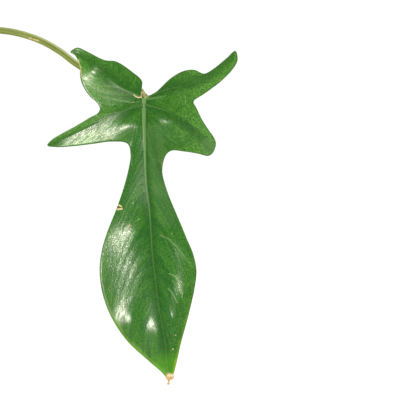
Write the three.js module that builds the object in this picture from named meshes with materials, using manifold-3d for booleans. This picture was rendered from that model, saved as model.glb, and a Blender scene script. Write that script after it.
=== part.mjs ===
// A glad hands philodendron growing in a plain round clay pot. One stem climbs out of the potting mix and
// carries seven leaves on long arched petioles, a rolled new leaf at its top, and a few aerial roots. Each
// blade has the raised basal lobes, the side lobes, the narrow waist and the long end lobe of the plant.
// Millimetres, +Z up. The origin is the centre of the pot's base, on the surface that it stands on.
import * as THREE from "three";
import { mergeVertices } from "three/addons/utils/BufferGeometryUtils.js";
import Module from "manifold-3d";

const wasm = await Module();
wasm.setup();

// Driving dimensions
const POT_HEIGHT = 112;
const POT_RIM_RADIUS = 65;
const POT_BODY_TOP_RADIUS = 60.5;
const POT_BASE_RADIUS = 44;
const POT_RIM_HEIGHT = 21;
const POT_WALL = 4;
const POT_FLOOR = 6;
const DRAIN_RADIUS = 5;
const DRAIN_CIRCLE = 22;
const DRAIN_COUNT = 4;
const SOIL_LEVEL = 97;
const GAP = 0.3; // clearance between pieces that touch on the plant
const STEM_RADIUS = 5.2;
const STEM_SIDES = 10;
const BLADE_LENGTH = 188; // end lobe of a full-size blade, from its petiole to its tip
const BLADE_THICKNESS = 0.8;
const PETIOLE_TIP_RADIUS = 2;
const PETIOLE_BASE_RADIUS = 2.7;
const PETIOLE_SIDES = 8;

const COLOURS = {
  blade: 0x3f7a2e,
  petiole: 0x8a9c4e,
  stem: 0x6f8a45,
  youngLeaf: 0x9dbb5a,
  sheath: 0xa98d5f,
  aerialRoot: 0x7d5a3c,
  pot: 0xb5653f,
  soil: 0x3a2a20,
};

// Small helpers

const v3 = (x, y, z) => new THREE.Vector3(x, y, z);
const smoothstep = (a, b, x) => THREE.MathUtils.smoothstep(x, a, b);
const radians = THREE.MathUtils.degToRad;

// A unit vector with a compass heading in the XY plane and an angle above it, both in degrees.
function heading(azimuth, elevation) {
  const a = radians(azimuth);
  const e = radians(elevation);
  return v3(Math.cos(a) * Math.cos(e), Math.sin(a) * Math.cos(e), Math.sin(e));
}

function indexedGeometry(points, triangles) {
  const geometry = new THREE.BufferGeometry();
  const flat = points.flatMap((p) => [p.x, p.y, p.z]);
  geometry.setAttribute("position", new THREE.Float32BufferAttribute(flat, 3));
  geometry.setIndex(triangles.flat());
  return geometry;
}

function solidOf(geometry) {
  const bare = geometry.clone();
  bare.deleteAttribute("normal");
  bare.deleteAttribute("uv");
  const merged = mergeVertices(bare, 1e-3);
  return new wasm.Manifold(
    new wasm.Mesh({
      numProp: 3,
      vertProperties: merged.attributes.position.array,
      triVerts: new Uint32Array(merged.index.array),
    }),
  );
}

function geometryOf(solid) {
  const mesh = solid.getMesh();
  const geometry = new THREE.BufferGeometry();
  geometry.setAttribute("position", new THREE.BufferAttribute(mesh.vertProperties, 3));
  geometry.setIndex(new THREE.BufferAttribute(mesh.triVerts, 1));
  return geometry;
}

const largestOf = (solid) => solid.decompose().reduce((a, b) => (b.volume() > a.volume() ? b : a));

// The main body that a cut leaves, without crumbs and without slivers that close up when points merge.
const largestBody = (solid) => largestOf(solidOf(geometryOf(largestOf(solid).simplify(0.02))));

// A closed round tube through centres, with a radius at each and rings that turn as little as they can.
function taperedTube(centres, radii, sides) {
  const points = [];
  const triangles = [];
  let across = null;
  centres.forEach((centre, i) => {
    const before = centres[Math.max(i - 1, 0)];
    const after = centres[Math.min(i + 1, centres.length - 1)];
    const along = after.clone().sub(before).normalize();
    const guess = across ?? (Math.abs(along.z) < 0.9 ? v3(0, 0, 1) : v3(1, 0, 0));
    across = guess.clone().addScaledVector(along, -guess.dot(along)).normalize();
    const other = along.clone().cross(across);
    for (let k = 0; k < sides; k++) {
      const a = (2 * Math.PI * k) / sides;
      points.push(
        centre
          .clone()
          .addScaledVector(across, radii[i] * Math.cos(a))
          .addScaledVector(other, radii[i] * Math.sin(a)),
      );
    }
  });
  for (let i = 0; i + 1 < centres.length; i++)
    for (let k = 0; k < sides; k++) {
      const a = i * sides + k;
      const b = i * sides + ((k + 1) % sides);
      triangles.push([a, b, b + sides], [a, b + sides, a + sides]);
    }
  const first = points.push(centres[0].clone()) - 1;
  const last = points.push(centres.at(-1).clone()) - 1;
  const end = (centres.length - 1) * sides;
  for (let k = 0; k < sides; k++) {
    const next = (k + 1) % sides;
    triangles.push([first, next, k], [last, end + k, end + next]);
  }
  return indexedGeometry(points, triangles);
}

// The blade's pattern. A full-size blade lies in a plane with the petiole at (0, 0), the end lobe towards
// -v and the basal lobes towards +v. Each half is a row of margin points, and every margin point has a foot
// on a main vein, as a share of that vein's length. The straight or swept line between them is a rib.

const MIDRIB = [[0, 0], [0, -14.5], [0.5, -31.5], [1.5, -55.5], [4, -77.5], [5.5, -101.5], [7.5, -119.5],
  [10, -139.5], [13.5, -158.5], [16.5, -188]];
const SIDE_VEIN_START = 0.022; // where the side lobes' veins leave the midrib, as a share of its length

const RIGHT_HALF = {
  basalVein: [[0, 0], [16, 6], [32, 9.5], [47.5, 18.5], [60.5, 30]],
  sideVein: [[0, -4], [17.5, -10], [34, -22], [46, -35.5]],
  basalOut: [[2, 0.5], [8.5, 4.5], [17.5, 13], [26, 18], [33.5, 19], [40, 16.5], [46.5, 20], [55, 27], [61, 32]],
  basalBack: [[62.5, 26], [59.5, 20], [52, 12], [44.5, 6], [39.5, 2.5], [35.5, 0], [33.5, -1.5], [33, -3]],
  sideOut: [[35, -6.5], [38, -13], [43, -21], [46.5, -26], [48, -30.5], [45.5, -37]],
  sideBack: [[42.5, -38.5], [36, -37], [26, -35.5], [18.5, -35], [15, -37.5]],
  end: [[12.5, -44.5], [12.5, -52], [16.5, -65.5], [22, -78.5], [28.5, -93.5], [33, -104.5], [35, -115.5],
    [33.5, -128], [29.5, -145.5], [24.5, -164], [21.5, -177.5], [19.5, -184.5], [16.5, -189.5]],
};

const LEFT_HALF = {
  basalVein: [[0, 0], [-17.5, 8.5], [-30.5, 20], [-40, 27.5], [-47.5, 32]],
  sideVein: [[0, -4], [-17.5, -10], [-39.5, -20.5], [-64, -31.5]],
  basalOut: [[-1.5, 0.5], [-1.5, 5.5], [-1.5, 11.5], [-8.5, 18], [-18.5, 24.5], [-26.5, 25.5], [-38.5, 31.5],
    [-45, 34], [-49.5, 31]],
  basalBack: [[-46.5, 29], [-44.5, 25.5], [-43, 20.5], [-42.5, 13], [-40, 6.5], [-36, 1], [-31.5, -3],
    [-29.5, -7]],
  sideOut: [[-31, -10], [-35.5, -12.5], [-46.5, -19], [-56, -24], [-62.5, -28], [-65, -31.5]],
  sideBack: [[-59.5, -32.5], [-48, -32], [-34.5, -30.5], [-21.5, -29], [-11, -30.5]],
  end: [[-9, -38], [-10, -46.5], [-13.5, -60], [-18.5, -74.5], [-24.5, -89.5], [-28, -101.5], [-29.5, -113.5],
    [-28, -128.5], [-22.5, -144.5], [-11.5, -161.5], [3.5, -175.5], [13, -184], [16.5, -189.5]],
};

const BASAL_FEET = [0, 0.12, 0.25, 0.38, 0.5, 0.62, 0.76, 0.88, 0.96];
const SIDE_FEET = [0, 0.2, 0.45, 0.7, 0.88, 0.97];
const END_FEET = [0.07, 0.11, 0.19, 0.25, 0.31, 0.37, 0.44, 0.52, 0.63, 0.75, 0.86, 0.94, 0.99];

const curveOf = (points) =>
  new THREE.CatmullRomCurve3(points.map(([u, v]) => v3(u, v, 0)), false, "centripetal");

// The whole row of one half: its margin as a curve, and the vein and share of the foot at each of its points.
function halfPattern(half) {
  const veins = { basal: curveOf(half.basalVein), side: curveOf(half.sideVein), mid: curveOf(MIDRIB) };
  const margin = [half.basalOut, half.basalBack, half.sideOut, half.sideBack, half.end].flat();
  const outAndBack = (name, feet) => [...feet, ...feet.slice(0, -1).reverse()].map((f) => [name, f]);
  const feet = [
    ...outAndBack("basal", BASAL_FEET),
    ...outAndBack("side", SIDE_FEET),
    ...END_FEET.map((f) => ["mid", f]),
  ];
  return { veins, margin: curveOf(margin), feet };
}

// The foot of a rib that lies a share of the way between two keys. Across a change of vein it runs along
// the midrib, between the points where the two veins start.
function footBetween(pattern, key, share) {
  const [name, from] = pattern.feet[key];
  const [nextName, to] = pattern.feet[Math.min(key + 1, pattern.feet.length - 1)];
  const onMidrib = (vein, f) => (vein === "basal" ? 0 : vein === "side" ? SIDE_VEIN_START : f);
  const mixed = name !== nextName;
  const vein = mixed ? "mid" : name;
  const f = mixed
    ? THREE.MathUtils.lerp(onMidrib(name, from), onMidrib(nextName, to), share)
    : THREE.MathUtils.lerp(from, to, share);
  return { vein, f, point: pattern.veins[vein].getPointAt(f) };
}

const RIGHT = halfPattern(RIGHT_HALF);
const LEFT = halfPattern(LEFT_HALF);

// How one blade differs from the flat full-size pattern. Lengths are in millimetres on a full-size blade.
const PLAIN_SHAPE = {
  scale: 1,
  flip: false, // mirrored left to right
  armWidth: 1, // width of the part that has the lobes
  lobeWidth: 1, // width of the end lobe
  lift: 0, // how far the lobes are raised, per millimetre from the midrib
  fill: 0, // how much less narrow the waist is
  sway: 0, // sideways curve of the end lobe
  arch: 5, // bow of the midrib towards the upper side
  flick: 3, // turn of the tip towards the upper side
  arm: -7, // bend of the lobes' tips, towards the upper side where positive
  droop: 0.17, // fall of the margin, as a share of the rib
  crest: 1.5, // height of the swelling beside the sunk veins
  wave: 1.2, // height of the waves along the margin
  waves: 5,
  phase: 0.6,
  bend: 0, // degrees that the end lobe curls backwards in all
  twist: 0, // degrees that the end lobe turns about its midrib
  tent: 0, // fall of each half from the midrib, per millimetre
};
const CREST_REACH = 6;
const ARM_REACH = 55;
const RIB_SWEEP = 0.07;
const KEEL = 1.5; // height of the midrib below the blade at the petiole
const VEIN_KEEL = 0.5;
const ROWS = [0, null, 0.42, 1]; // shares of a rib, where null stands for the foot of the keel
const KEEL_HALF_WIDTH = 2.4;

function warped(u, v, shape) {
  const arms = smoothstep(-70, -22, v);
  const waist = Math.exp(-(((v + 46) / 20) ** 2));
  const width = THREE.MathUtils.lerp(shape.lobeWidth, shape.armWidth, arms) * (1 + shape.fill * waist);
  const down = Math.min(v, 0);
  return [
    u * width + (shape.sway * down * down) / BLADE_LENGTH ** 2,
    v + shape.lift * Math.abs(u) * arms,
  ];
}

// Curls the end lobe backwards and turns it about its midrib.
function curled(u, v, w, shape) {
  const share = Math.max(-v, 0) / BLADE_LENGTH;
  const turn = radians(shape.twist) * share;
  const across = u * Math.cos(turn) + w * Math.sin(turn);
  const raised = w * Math.cos(turn) - u * Math.sin(turn);
  if (!shape.bend || v >= 0) return v3(across, v, raised);
  const curvature = radians(shape.bend) / BLADE_LENGTH;
  const angle = -v * curvature;
  return v3(
    across,
    -Math.sin(angle) / curvature - raised * Math.sin(angle),
    -(1 - Math.cos(angle)) / curvature + raised * Math.cos(angle),
  );
}

function midribRise(f, shape) {
  const tip = Math.max(f - 0.7, 0) / 0.3;
  return shape.arch * 4 * f * (1 - f) + shape.flick * tip * tip;
}

// A point of the blade's middle surface, on the rib at position key + share, a share t of the way out.
function bladePoint(pattern, key, share, t, shape) {
  const foot = footBetween(pattern, key, share);
  const last = pattern.feet.length - 1;
  const edge = pattern.margin.getPoint(Math.min((key + share) / last, 1));
  const rib = edge.clone().sub(foot.point);
  const length = rib.length();
  const sweep = foot.vein === "mid" ? RIB_SWEEP * Math.min(foot.f / 0.15, 1) * length : 0;
  const flat = foot.point.clone().addScaledVector(rib, t);
  flat.y += sweep * 4 * t * (1 - t);
  const [u, v] = warped(flat.x, flat.y, shape);
  const d = length * t;
  const fromPetiole = foot.vein === "mid" ? 0 : foot.point.length();
  const rise =
    midribRise(foot.vein === "mid" ? foot.f : 0, shape) + shape.arm * (fromPetiole / ARM_REACH) ** 2;
  const swell = shape.crest * (1 - Math.exp(-((d / CREST_REACH) ** 2)));
  const fall = shape.droop * length * t * t;
  const wave =
    ((shape.wave * length) / 30) *
    t *
    t *
    Math.sin((2 * Math.PI * shape.waves * (key + share)) / last + shape.phase);
  const point = curled(u, v, rise + swell - fall + wave - shape.tent * Math.abs(u), shape);
  if (shape.flip) point.x = -point.x;
  const keel =
    t > 0 ? 0 : foot.vein === "mid" ? KEEL * (1 - foot.f) : VEIN_KEEL * (1 - foot.f);
  return { point: point.multiplyScalar(shape.scale), keel: keel * shape.scale, length };
}

// The middle surface of a whole blade as merged points and triangles that face the upper side.
function bladeSheet(shape, steps) {
  const points = [];
  const keels = [];
  const seen = new Map();
  const indexOf = (point, keel) => {
    const name = [point.x, point.y, point.z].map((c) => Math.round(c * 500)).join();
    if (!seen.has(name)) {
      seen.set(name, points.push(point) - 1);
      keels.push(keel);
    }
    return seen.get(name);
  };
  const triangles = [];
  for (const pattern of [RIGHT, LEFT]) {
    const facesUp = (pattern === RIGHT) !== shape.flip;
    const ribs = (pattern.feet.length - 1) * steps;
    const rows = [];
    for (let i = 0; i <= ribs; i++) {
      const key = Math.min(Math.floor(i / steps), pattern.feet.length - 2);
      const share = i / steps - key;
      const { length } = bladePoint(pattern, key, share, 0, shape);
      const shares = ROWS.map((t) => t ?? Math.min(KEEL_HALF_WIDTH / length, 0.25));
      rows.push(
        shares.map((t) => {
          const made = bladePoint(pattern, key, share, t, shape);
          return indexOf(made.point, made.keel);
        }),
      );
    }
    for (let i = 0; i < ribs; i++)
      for (let j = 0; j + 1 < ROWS.length; j++) {
        const [a, b, c, d] = [rows[i][j], rows[i][j + 1], rows[i + 1][j + 1], rows[i + 1][j]];
        for (const t of [[a, c, b], [a, d, c]])
          if (new Set(t).size === 3) triangles.push(facesUp ? t : t.reverse());
      }
  }
  return { points, keels, triangles };
}

function vertexNormals(points, triangles) {
  const normals = points.map(() => v3(0, 0, 0));
  for (const [a, b, c] of triangles) {
    const ab = points[b].clone().sub(points[a]);
    const face = ab.cross(points[c].clone().sub(points[a]));
    for (const i of [a, b, c]) normals[i].add(face);
  }
  return normals.map((n) => n.normalize());
}

// The sheet given its thickness: the upper face, the lower face with the veins' keels, and the rim.
function bladeGeometry(shape, steps) {
  const { points, keels, triangles } = bladeSheet(shape, steps);
  const normals = vertexNormals(points, triangles);
  const half = BLADE_THICKNESS / 2;
  const count = points.length;
  const both = [
    ...points.map((p, i) => p.clone().addScaledVector(normals[i], half)),
    ...points.map((p, i) => p.clone().addScaledVector(normals[i], -half - keels[i])),
  ];
  const edges = new Map();
  for (const t of triangles)
    for (let k = 0; k < 3; k++) {
      const [a, b] = [t[k], t[(k + 1) % 3]];
      if (!edges.delete(`${b},${a}`)) edges.set(`${a},${b}`, [a, b]);
    }
  const rim = [...edges.values()].flatMap(([a, b]) => [
    [a, a + count, b + count],
    [a, b + count, b],
  ]);
  const under = triangles.map(([a, b, c]) => [a + count, c + count, b + count]);
  return indexedGeometry(both, [...triangles, ...under, ...rim]);
}

// The stem: buried foot, then a gentle climb with a ring at each node.

const STEM_PATH = new THREE.CatmullRomCurve3(
  [v3(2, 3, 40), v3(1, 1, 75), v3(-1, 0, 105), v3(-4, 2, 140), v3(-3, 5, 175), v3(2, 4, 210), v3(4, 1, 240),
    v3(2, -1, 268)],
  false,
  "centripetal",
);
const STEM_TOP_RADIUS = 3.6;
const NODE_HEIGHTS = [118, 138, 159, 181, 204, 227, 248];
const RING = 1.1;
const RING_REACH = 2.6;

function stemShareAt(height) {
  let low = 0;
  let high = 1;
  for (let i = 0; i < 30; i++) {
    const mid = (low + high) / 2;
    if (STEM_PATH.getPointAt(mid).z < height) low = mid;
    else high = mid;
  }
  return low;
}

const stemRadius = (share) => THREE.MathUtils.lerp(STEM_RADIUS, STEM_TOP_RADIUS, share ** 2);

function stemGeometry(extra = 0) {
  const length = STEM_PATH.getLength();
  const nodeShares = NODE_HEIGHTS.map(stemShareAt);
  const offsets = [-5.5, -1.6, 1.6, 5.5].map((mm) => mm / length);
  const shares = [
    0, 0.08, 0.16, 0.24,
    ...nodeShares.flatMap((share) => offsets.map((o) => share + o)),
    0.985, 1,
  ].sort((a, b) => a - b);
  const ringAt = (share) =>
    nodeShares.reduce(
      (sum, node) => sum + RING * Math.exp(-((((share - node) * length) / RING_REACH) ** 2)),
      0,
    );
  const rounded = (share) => (share > 0.99 ? 0.45 : share > 0.98 ? 0.85 : 1);
  const kept = shares.filter((s, i) => i === 0 || s - shares[i - 1] > 0.004);
  return taperedTube(
    kept.map((s) => STEM_PATH.getPointAt(Math.min(s, 1))),
    kept.map((s) => stemRadius(s) * rounded(s) + ringAt(s) + extra),
    STEM_SIDES,
  );
}

// The leaves, oldest first. leave: heading of the petiole at the stem. at: the point where the blade joins
// its petiole. face: heading that the upper side turns to. pitch: how far the midrib points below the
// horizon. roll: turn about the blade's own normal. rise and reach: how far the petiole's pull runs up from
// the stem and back from the blade.
const LEAVES = [
  { node: 0, leave: 192, climb: 40, at: [-150, -28, 158], face: 196, pitch: 66, roll: 6, rise: 70, reach: 55,
    shape: { scale: 0.8, flip: true, lift: -0.12, bend: 24, twist: 12, tent: 0.1, sway: 6, phase: 2 } },
  { node: 1, leave: 84, climb: 52, at: [-6, 138, 188], face: 82, pitch: 60, roll: -5, rise: 75, reach: 60,
    shape: { scale: 0.84, lift: 0.14, bend: 30, twist: -14, tent: 0.06, fill: 0.15, phase: 4 } },
  { node: 2, leave: 232, climb: 52, at: [-98, -142, 216], face: 236, pitch: 62, roll: 8, rise: 85, reach: 60,
    shape: { scale: 0.9, lift: 0.08, bend: 22, twist: 10, tent: 0.08, sway: -8, waves: 6, phase: 5 } },
  { node: 3, leave: -14, climb: 58, at: [180, -70, 245], face: -90, pitch: 75, roll: 0, shape: {} },
  { node: 4, leave: 138, climb: 58, at: [-112, 118, 286], face: 134, pitch: 58, roll: -8, rise: 90, reach: 65,
    shape: { scale: 0.95, flip: true, lift: 0.05, bend: 28, twist: 16, tent: 0.08, phase: 1 } },
  { node: 5, leave: 184, climb: 64, at: [-118, -30, 330], face: 200, pitch: 52, roll: 10, rise: 85, reach: 55,
    shape: { scale: 0.86, lift: 0.18, bend: 26, twist: -12, tent: 0.05, fill: 0.2, sway: 7, phase: 3.2 } },
  { node: 6, leave: 58, climb: 74, at: [44, 60, 366], face: 56, pitch: 24, roll: -6, rise: 80, reach: 30,
    shape: { scale: 0.62, flip: true, lift: 0.1, fill: 0.4, bend: 20, tent: -0.06, arm: 4, phase: 0 } },
];

// The petiole of the fourth leaf passes behind its own left lobe. Its points are in that blade's plane and
// behind it, from near the blade back towards the stem.
const SEEN_PETIOLE = [[-5.1, 2.4, -7.9], [-11.1, 6.2, -13.2], [-21.3, 11.1, -20.3], [-32.1, 16, -26.7],
  [-46.1, 24.2, -34], [-59.3, 34.2, -40.4], [-73.8, 42.2, -46.1], [-94.6, 48.3, -52.4],
  [-115.6, 48.7, -58.3], [-134.4, 39.8, -64.2], [-148.9, 23.8, -69.5], [-159.3, 4.3, -74.4]];
const SEEN_NODE = 3;

function bladeMatrix(leaf) {
  const face = heading(leaf.face, 0);
  const pitch = radians(leaf.pitch);
  const normal = face.clone().multiplyScalar(Math.sin(pitch)).add(v3(0, 0, Math.cos(pitch)));
  const up = face.clone().multiplyScalar(-Math.cos(pitch)).add(v3(0, 0, Math.sin(pitch)));
  up.applyAxisAngle(normal, radians(leaf.roll));
  const across = up.clone().cross(normal);
  return new THREE.Matrix4().makeBasis(across, up, normal).setPosition(...leaf.at);
}

const seatDepth = (scale) => BLADE_THICKNESS / 2 + KEEL * scale + GAP;

function petioleCurve(leaf, matrix, scale) {
  const start = STEM_PATH.getPointAt(stemShareAt(NODE_HEIGHTS[leaf.node]));
  const away = heading(leaf.leave, leaf.climb);
  const end = v3(0, -2, -seatDepth(scale)).applyMatrix4(matrix);
  if (leaf.node === SEEN_NODE) {
    const behind = SEEN_PETIOLE.map((p) => v3(...p).applyMatrix4(matrix)).reverse();
    return new THREE.CatmullRomCurve3(
      [start, start.clone().addScaledVector(away, 14), ...behind, end],
      false,
      "centripetal",
    );
  }
  const arriving = heading(leaf.face, 8).multiplyScalar(leaf.reach);
  return new THREE.CubicBezierCurve3(
    start,
    start.clone().addScaledVector(away, leaf.rise),
    end.clone().sub(arriving).add(v3(0, 0, 0.25 * leaf.reach)),
    end,
  );
}

// The tube, whose end is cut along the blade so that it seats under the midrib.
function petioleGeometry(curve, scale, steps, bladeNormal) {
  const shares = Array.from({ length: steps + 1 }, (_, i) => i / steps);
  const length = curve.getLength();
  const radius = (s) => {
    const base = 1.6 * Math.exp(-(((s * length) / 9) ** 2));
    const knee = 0.35 * Math.exp(-((((1 - s) * length - 5) / 5) ** 2));
    return THREE.MathUtils.lerp(PETIOLE_BASE_RADIUS, PETIOLE_TIP_RADIUS, s) * Math.sqrt(scale) + base + knee;
  };
  const tube = taperedTube(shares.map((s) => curve.getPointAt(s)), shares.map(radius), PETIOLE_SIDES);
  const end = curve.getPointAt(1);
  const along = curve.getTangentAt(1);
  const points = tube.attributes.position;
  for (let i = steps * PETIOLE_SIDES; i < (steps + 1) * PETIOLE_SIDES; i++) {
    const point = new THREE.Vector3().fromBufferAttribute(points, i);
    const above = point.clone().sub(end).dot(bladeNormal);
    point.addScaledVector(along, -above / along.dot(bladeNormal));
    points.setXYZ(i, point.x, point.y, point.z);
  }
  return tube;
}

// The top of the stem: a rolled new leaf, and the dry sheath that it grew out of.
const SPEAR_LENGTH = 92;
const SPEAR_RADIUS = 3.4;
const SHEATH_LENGTH = 46;

function spearGeometry(base) {
  const shares = [0, 0.06, 0.15, 0.3, 0.45, 0.6, 0.74, 0.86, 0.95, 1];
  const centres = shares.map((s) =>
    base.clone().add(v3(5 * s * s, -9 * s * s + 3 * s, SPEAR_LENGTH * s)),
  );
  const radii = shares.map((s) => SPEAR_RADIUS * (0.62 + 1.1 * s - 1.72 * s ** 1.9) + 0.25);
  return taperedTube(centres, radii, 8);
}

// Half a tube that clasps the stem, leans out and narrows to a point.
function sheathGeometry(base, azimuth) {
  const inner = 3.8;
  const thick = 0.8;
  const rows = 7;
  const across = 6;
  const grid = (radius) => {
    const points = [];
    for (let i = 0; i <= rows; i++) {
      const s = i / rows;
      const halfAngle = radians(78) * (1 - s ** 2.2) + radians(5);
      const lean = 15 * Math.max(s - 0.2, 0) ** 1.5;
      for (let k = 0; k <= across; k++) {
        const a = radians(azimuth) + halfAngle * ((2 * k) / across - 1);
        const r = radius + lean;
        points.push(base.clone().add(v3(r * Math.cos(a), r * Math.sin(a), SHEATH_LENGTH * s)));
      }
    }
    return points;
  };
  const points = [...grid(inner + thick), ...grid(inner)];
  const count = points.length / 2;
  const outer = [];
  for (let i = 0; i < rows; i++)
    for (let k = 0; k < across; k++) {
      const a = i * (across + 1) + k;
      outer.push([a, a + 1, a + across + 2], [a, a + across + 2, a + across + 1]);
    }
  const edges = new Map();
  for (const t of outer)
    for (let k = 0; k < 3; k++) {
      const [a, b] = [t[k], t[(k + 1) % 3]];
      if (!edges.delete(`${b},${a}`)) edges.set(`${a},${b}`, [a, b]);
    }
  const rim = [...edges.values()].flatMap(([a, b]) => [[a, a + count, b + count], [a, b + count, b]]);
  const back = outer.map(([a, b, c]) => [a + count, c + count, b + count]);
  return indexedGeometry(points, [...outer, ...back, ...rim]);
}

// Aerial roots: from a node of the stem, out and down.
const AERIAL_ROOTS = [
  { node: 1, azimuth: 300, points: [[5, -3], [11, -9], [14, -20], [15.5, -36]], radius: 1.5 },
  { node: 2, azimuth: 20, points: [[5, -2], [11, -6], [16, -15], [17, -27]], radius: 1.4 },
  { node: 3, azimuth: 150, points: [[5, -2], [10, -7], [12, -16]], radius: 1.3 },
  { node: 4, azimuth: 255, points: [[5, -1.5], [10, -5], [13.5, -12], [14, -19]], radius: 1.2 },
];

function aerialRootGeometry(root) {
  const start = STEM_PATH.getPointAt(stemShareAt(NODE_HEIGHTS[root.node]));
  const out = heading(root.azimuth, 0);
  const curve = new THREE.CatmullRomCurve3([
    start,
    ...root.points.map(([r, z]) => start.clone().addScaledVector(out, r).add(v3(0, 0, z))),
  ]);
  const shares = Array.from({ length: 8 }, (_, i) => i / 7);
  return taperedTube(
    shares.map((s) => curve.getPointAt(s)),
    shares.map((s) => root.radius * (s > 0.99 ? 0.45 : 1 - 0.25 * s)),
    6,
  );
}

// The pot: one turned profile, drilled for drainage off its centre.

function lathe(profile, segments) {
  const points = profile.map(([r, z]) => new THREE.Vector2(r, z));
  const geometry = new THREE.LatheGeometry(points, segments);
  return geometry.rotateX(Math.PI / 2);
}

const innerRadiusAt = (z) =>
  THREE.MathUtils.lerp(POT_BASE_RADIUS, POT_BODY_TOP_RADIUS, z / POT_HEIGHT) - POT_WALL;

function potSolid() {
  const rimLow = POT_HEIGHT - POT_RIM_HEIGHT;
  const bodyAtRim = THREE.MathUtils.lerp(POT_BASE_RADIUS, POT_BODY_TOP_RADIUS, rimLow / POT_HEIGHT);
  const profile = [
    [0, 0],
    [POT_BASE_RADIUS - 1.5, 0],
    [POT_BASE_RADIUS, 1.5],
    [bodyAtRim, rimLow],
    [POT_RIM_RADIUS - 2, rimLow + 0.6],
    [POT_RIM_RADIUS - 1.2, rimLow + 2],
    [POT_RIM_RADIUS, POT_HEIGHT - 2],
    [POT_RIM_RADIUS - 1.2, POT_HEIGHT],
    [innerRadiusAt(POT_HEIGHT) + 1.2, POT_HEIGHT],
    [innerRadiusAt(POT_HEIGHT), POT_HEIGHT - 1.5],
    [innerRadiusAt(POT_FLOOR), POT_FLOOR],
    [0, POT_FLOOR],
  ];
  let solid = solidOf(lathe(profile, 48));
  for (let k = 0; k < DRAIN_COUNT; k++) {
    const a = (2 * Math.PI * k) / DRAIN_COUNT + Math.PI / 4;
    const drill = new THREE.CylinderGeometry(DRAIN_RADIUS, DRAIN_RADIUS, 4 * POT_FLOOR, 16)
      .rotateX(Math.PI / 2)
      .translate(DRAIN_CIRCLE * Math.cos(a), DRAIN_CIRCLE * Math.sin(a), 0);
    solid = solid.subtract(solidOf(drill));
  }
  return solid;
}

// The potting mix: a plug that fills the pot, low at the wall, heaped and lumpy on top.
function soilHeight(r, a) {
  const heap = 3.5 * (1 - (r / 56) ** 2);
  const lumps = Math.sin(0.21 * r + 3 * a) * Math.cos(0.16 * r - 2 * a + 1) + 0.6 * Math.sin(0.4 * r + 5 * a);
  return SOIL_LEVEL + heap + 0.9 * lumps * Math.min(r / 10, 1);
}

function soilGeometry() {
  const sectors = 40;
  const rings = [56.4, 52, 45, 37, 28, 19, 10];
  const points = [];
  const ring = (radius, height) => {
    for (let k = 0; k < sectors; k++) {
      const a = (2 * Math.PI * k) / sectors;
      points.push(v3(radius * Math.cos(a), radius * Math.sin(a), height(a)));
    }
  };
  const floor = POT_FLOOR + GAP;
  const edge = innerRadiusAt(SOIL_LEVEL) - GAP - 0.2;
  ring(innerRadiusAt(floor) - GAP - 0.2, () => floor);
  ring(edge, () => SOIL_LEVEL - 2);
  for (const r of rings.slice(1)) ring(r, (a) => soilHeight(r, a));
  const bottom = points.push(v3(0, 0, floor)) - 1;
  const top = points.push(v3(0, 0, soilHeight(0, 0))) - 1;
  const triangles = [];
  const count = rings.length + 1;
  for (let i = 0; i + 1 < count; i++)
    for (let k = 0; k < sectors; k++) {
      const next = (k + 1) % sectors;
      const [a, b] = [i * sectors + k, i * sectors + next];
      triangles.push([a, b, b + sectors], [a, b + sectors, a + sectors]);
    }
  for (let k = 0; k < sectors; k++) {
    const next = (k + 1) % sectors;
    const inner = (count - 1) * sectors;
    triangles.push([bottom, next, k], [top, inner + k, inner + next]);
  }
  return indexedGeometry(points, triangles);
}

// Put it together

const plant = new THREE.Group();

function add(name, geometry, colour, roughness) {
  const material = new THREE.MeshStandardMaterial({ color: colour, roughness, metalness: 0 });
  const mesh = new THREE.Mesh(geometry, material);
  mesh.name = name;
  plant.add(mesh);
  return mesh;
}

const stem = solidOf(stemGeometry());
const stemRoom = solidOf(stemGeometry(GAP));

add("pot", geometryOf(potSolid()), COLOURS.pot, 0.85);
add("soil", geometryOf(largestBody(solidOf(soilGeometry()).subtract(stemRoom))), COLOURS.soil, 0.95);
add("stem", geometryOf(stem), COLOURS.stem, 0.55);

for (const leaf of LEAVES) {
  const shape = { ...PLAIN_SHAPE, ...leaf.shape };
  const name = `leaf_${leaf.node + 1}`;
  const steps = leaf.node === SEEN_NODE ? 2 : 1;
  const matrix = bladeMatrix(leaf);
  const blade = add(`${name}_blade`, bladeGeometry(shape, steps), COLOURS.blade, 0.35);
  blade.applyMatrix4(matrix);
  const normal = v3(0, 0, 1).transformDirection(matrix);
  const tube = petioleGeometry(petioleCurve(leaf, matrix, shape.scale), shape.scale, 16, normal);
  const petiole = largestBody(solidOf(tube).subtract(stemRoom));
  add(`${name}_petiole`, geometryOf(petiole), COLOURS.petiole, 0.5);
}

const stemTop = STEM_PATH.getPointAt(1);
add("new_leaf", spearGeometry(stemTop.clone().add(v3(0, 0, GAP))), COLOURS.youngLeaf, 0.4);
const sheath = solidOf(sheathGeometry(stemTop.clone().add(v3(0, 0, -10)), 205)).subtract(stemRoom);
add("new_leaf_sheath", geometryOf(largestBody(sheath)), COLOURS.sheath, 0.8);

AERIAL_ROOTS.forEach((root, i) => {
  const solid = largestBody(solidOf(aerialRootGeometry(root)).subtract(stemRoom));
  add(`aerial_root_${i + 1}`, geometryOf(solid), COLOURS.aerialRoot, 0.8);
});

export default plant;
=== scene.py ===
# %% [markdown]
# # A glad hands philodendron in a clay pot
# A climbing house plant: one stem, seven lobed leaves on long stalks, a rolled new leaf, aerial roots, a pot
# of bark mix. This notebook dresses the plain solids of the part with fine surfaces and painted-by-formula
# skins. The scene is in metres with +Z up, and the origin is the middle of the pot's base. Sizes are given in
# millimetres where MM brings them to metres.

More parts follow.
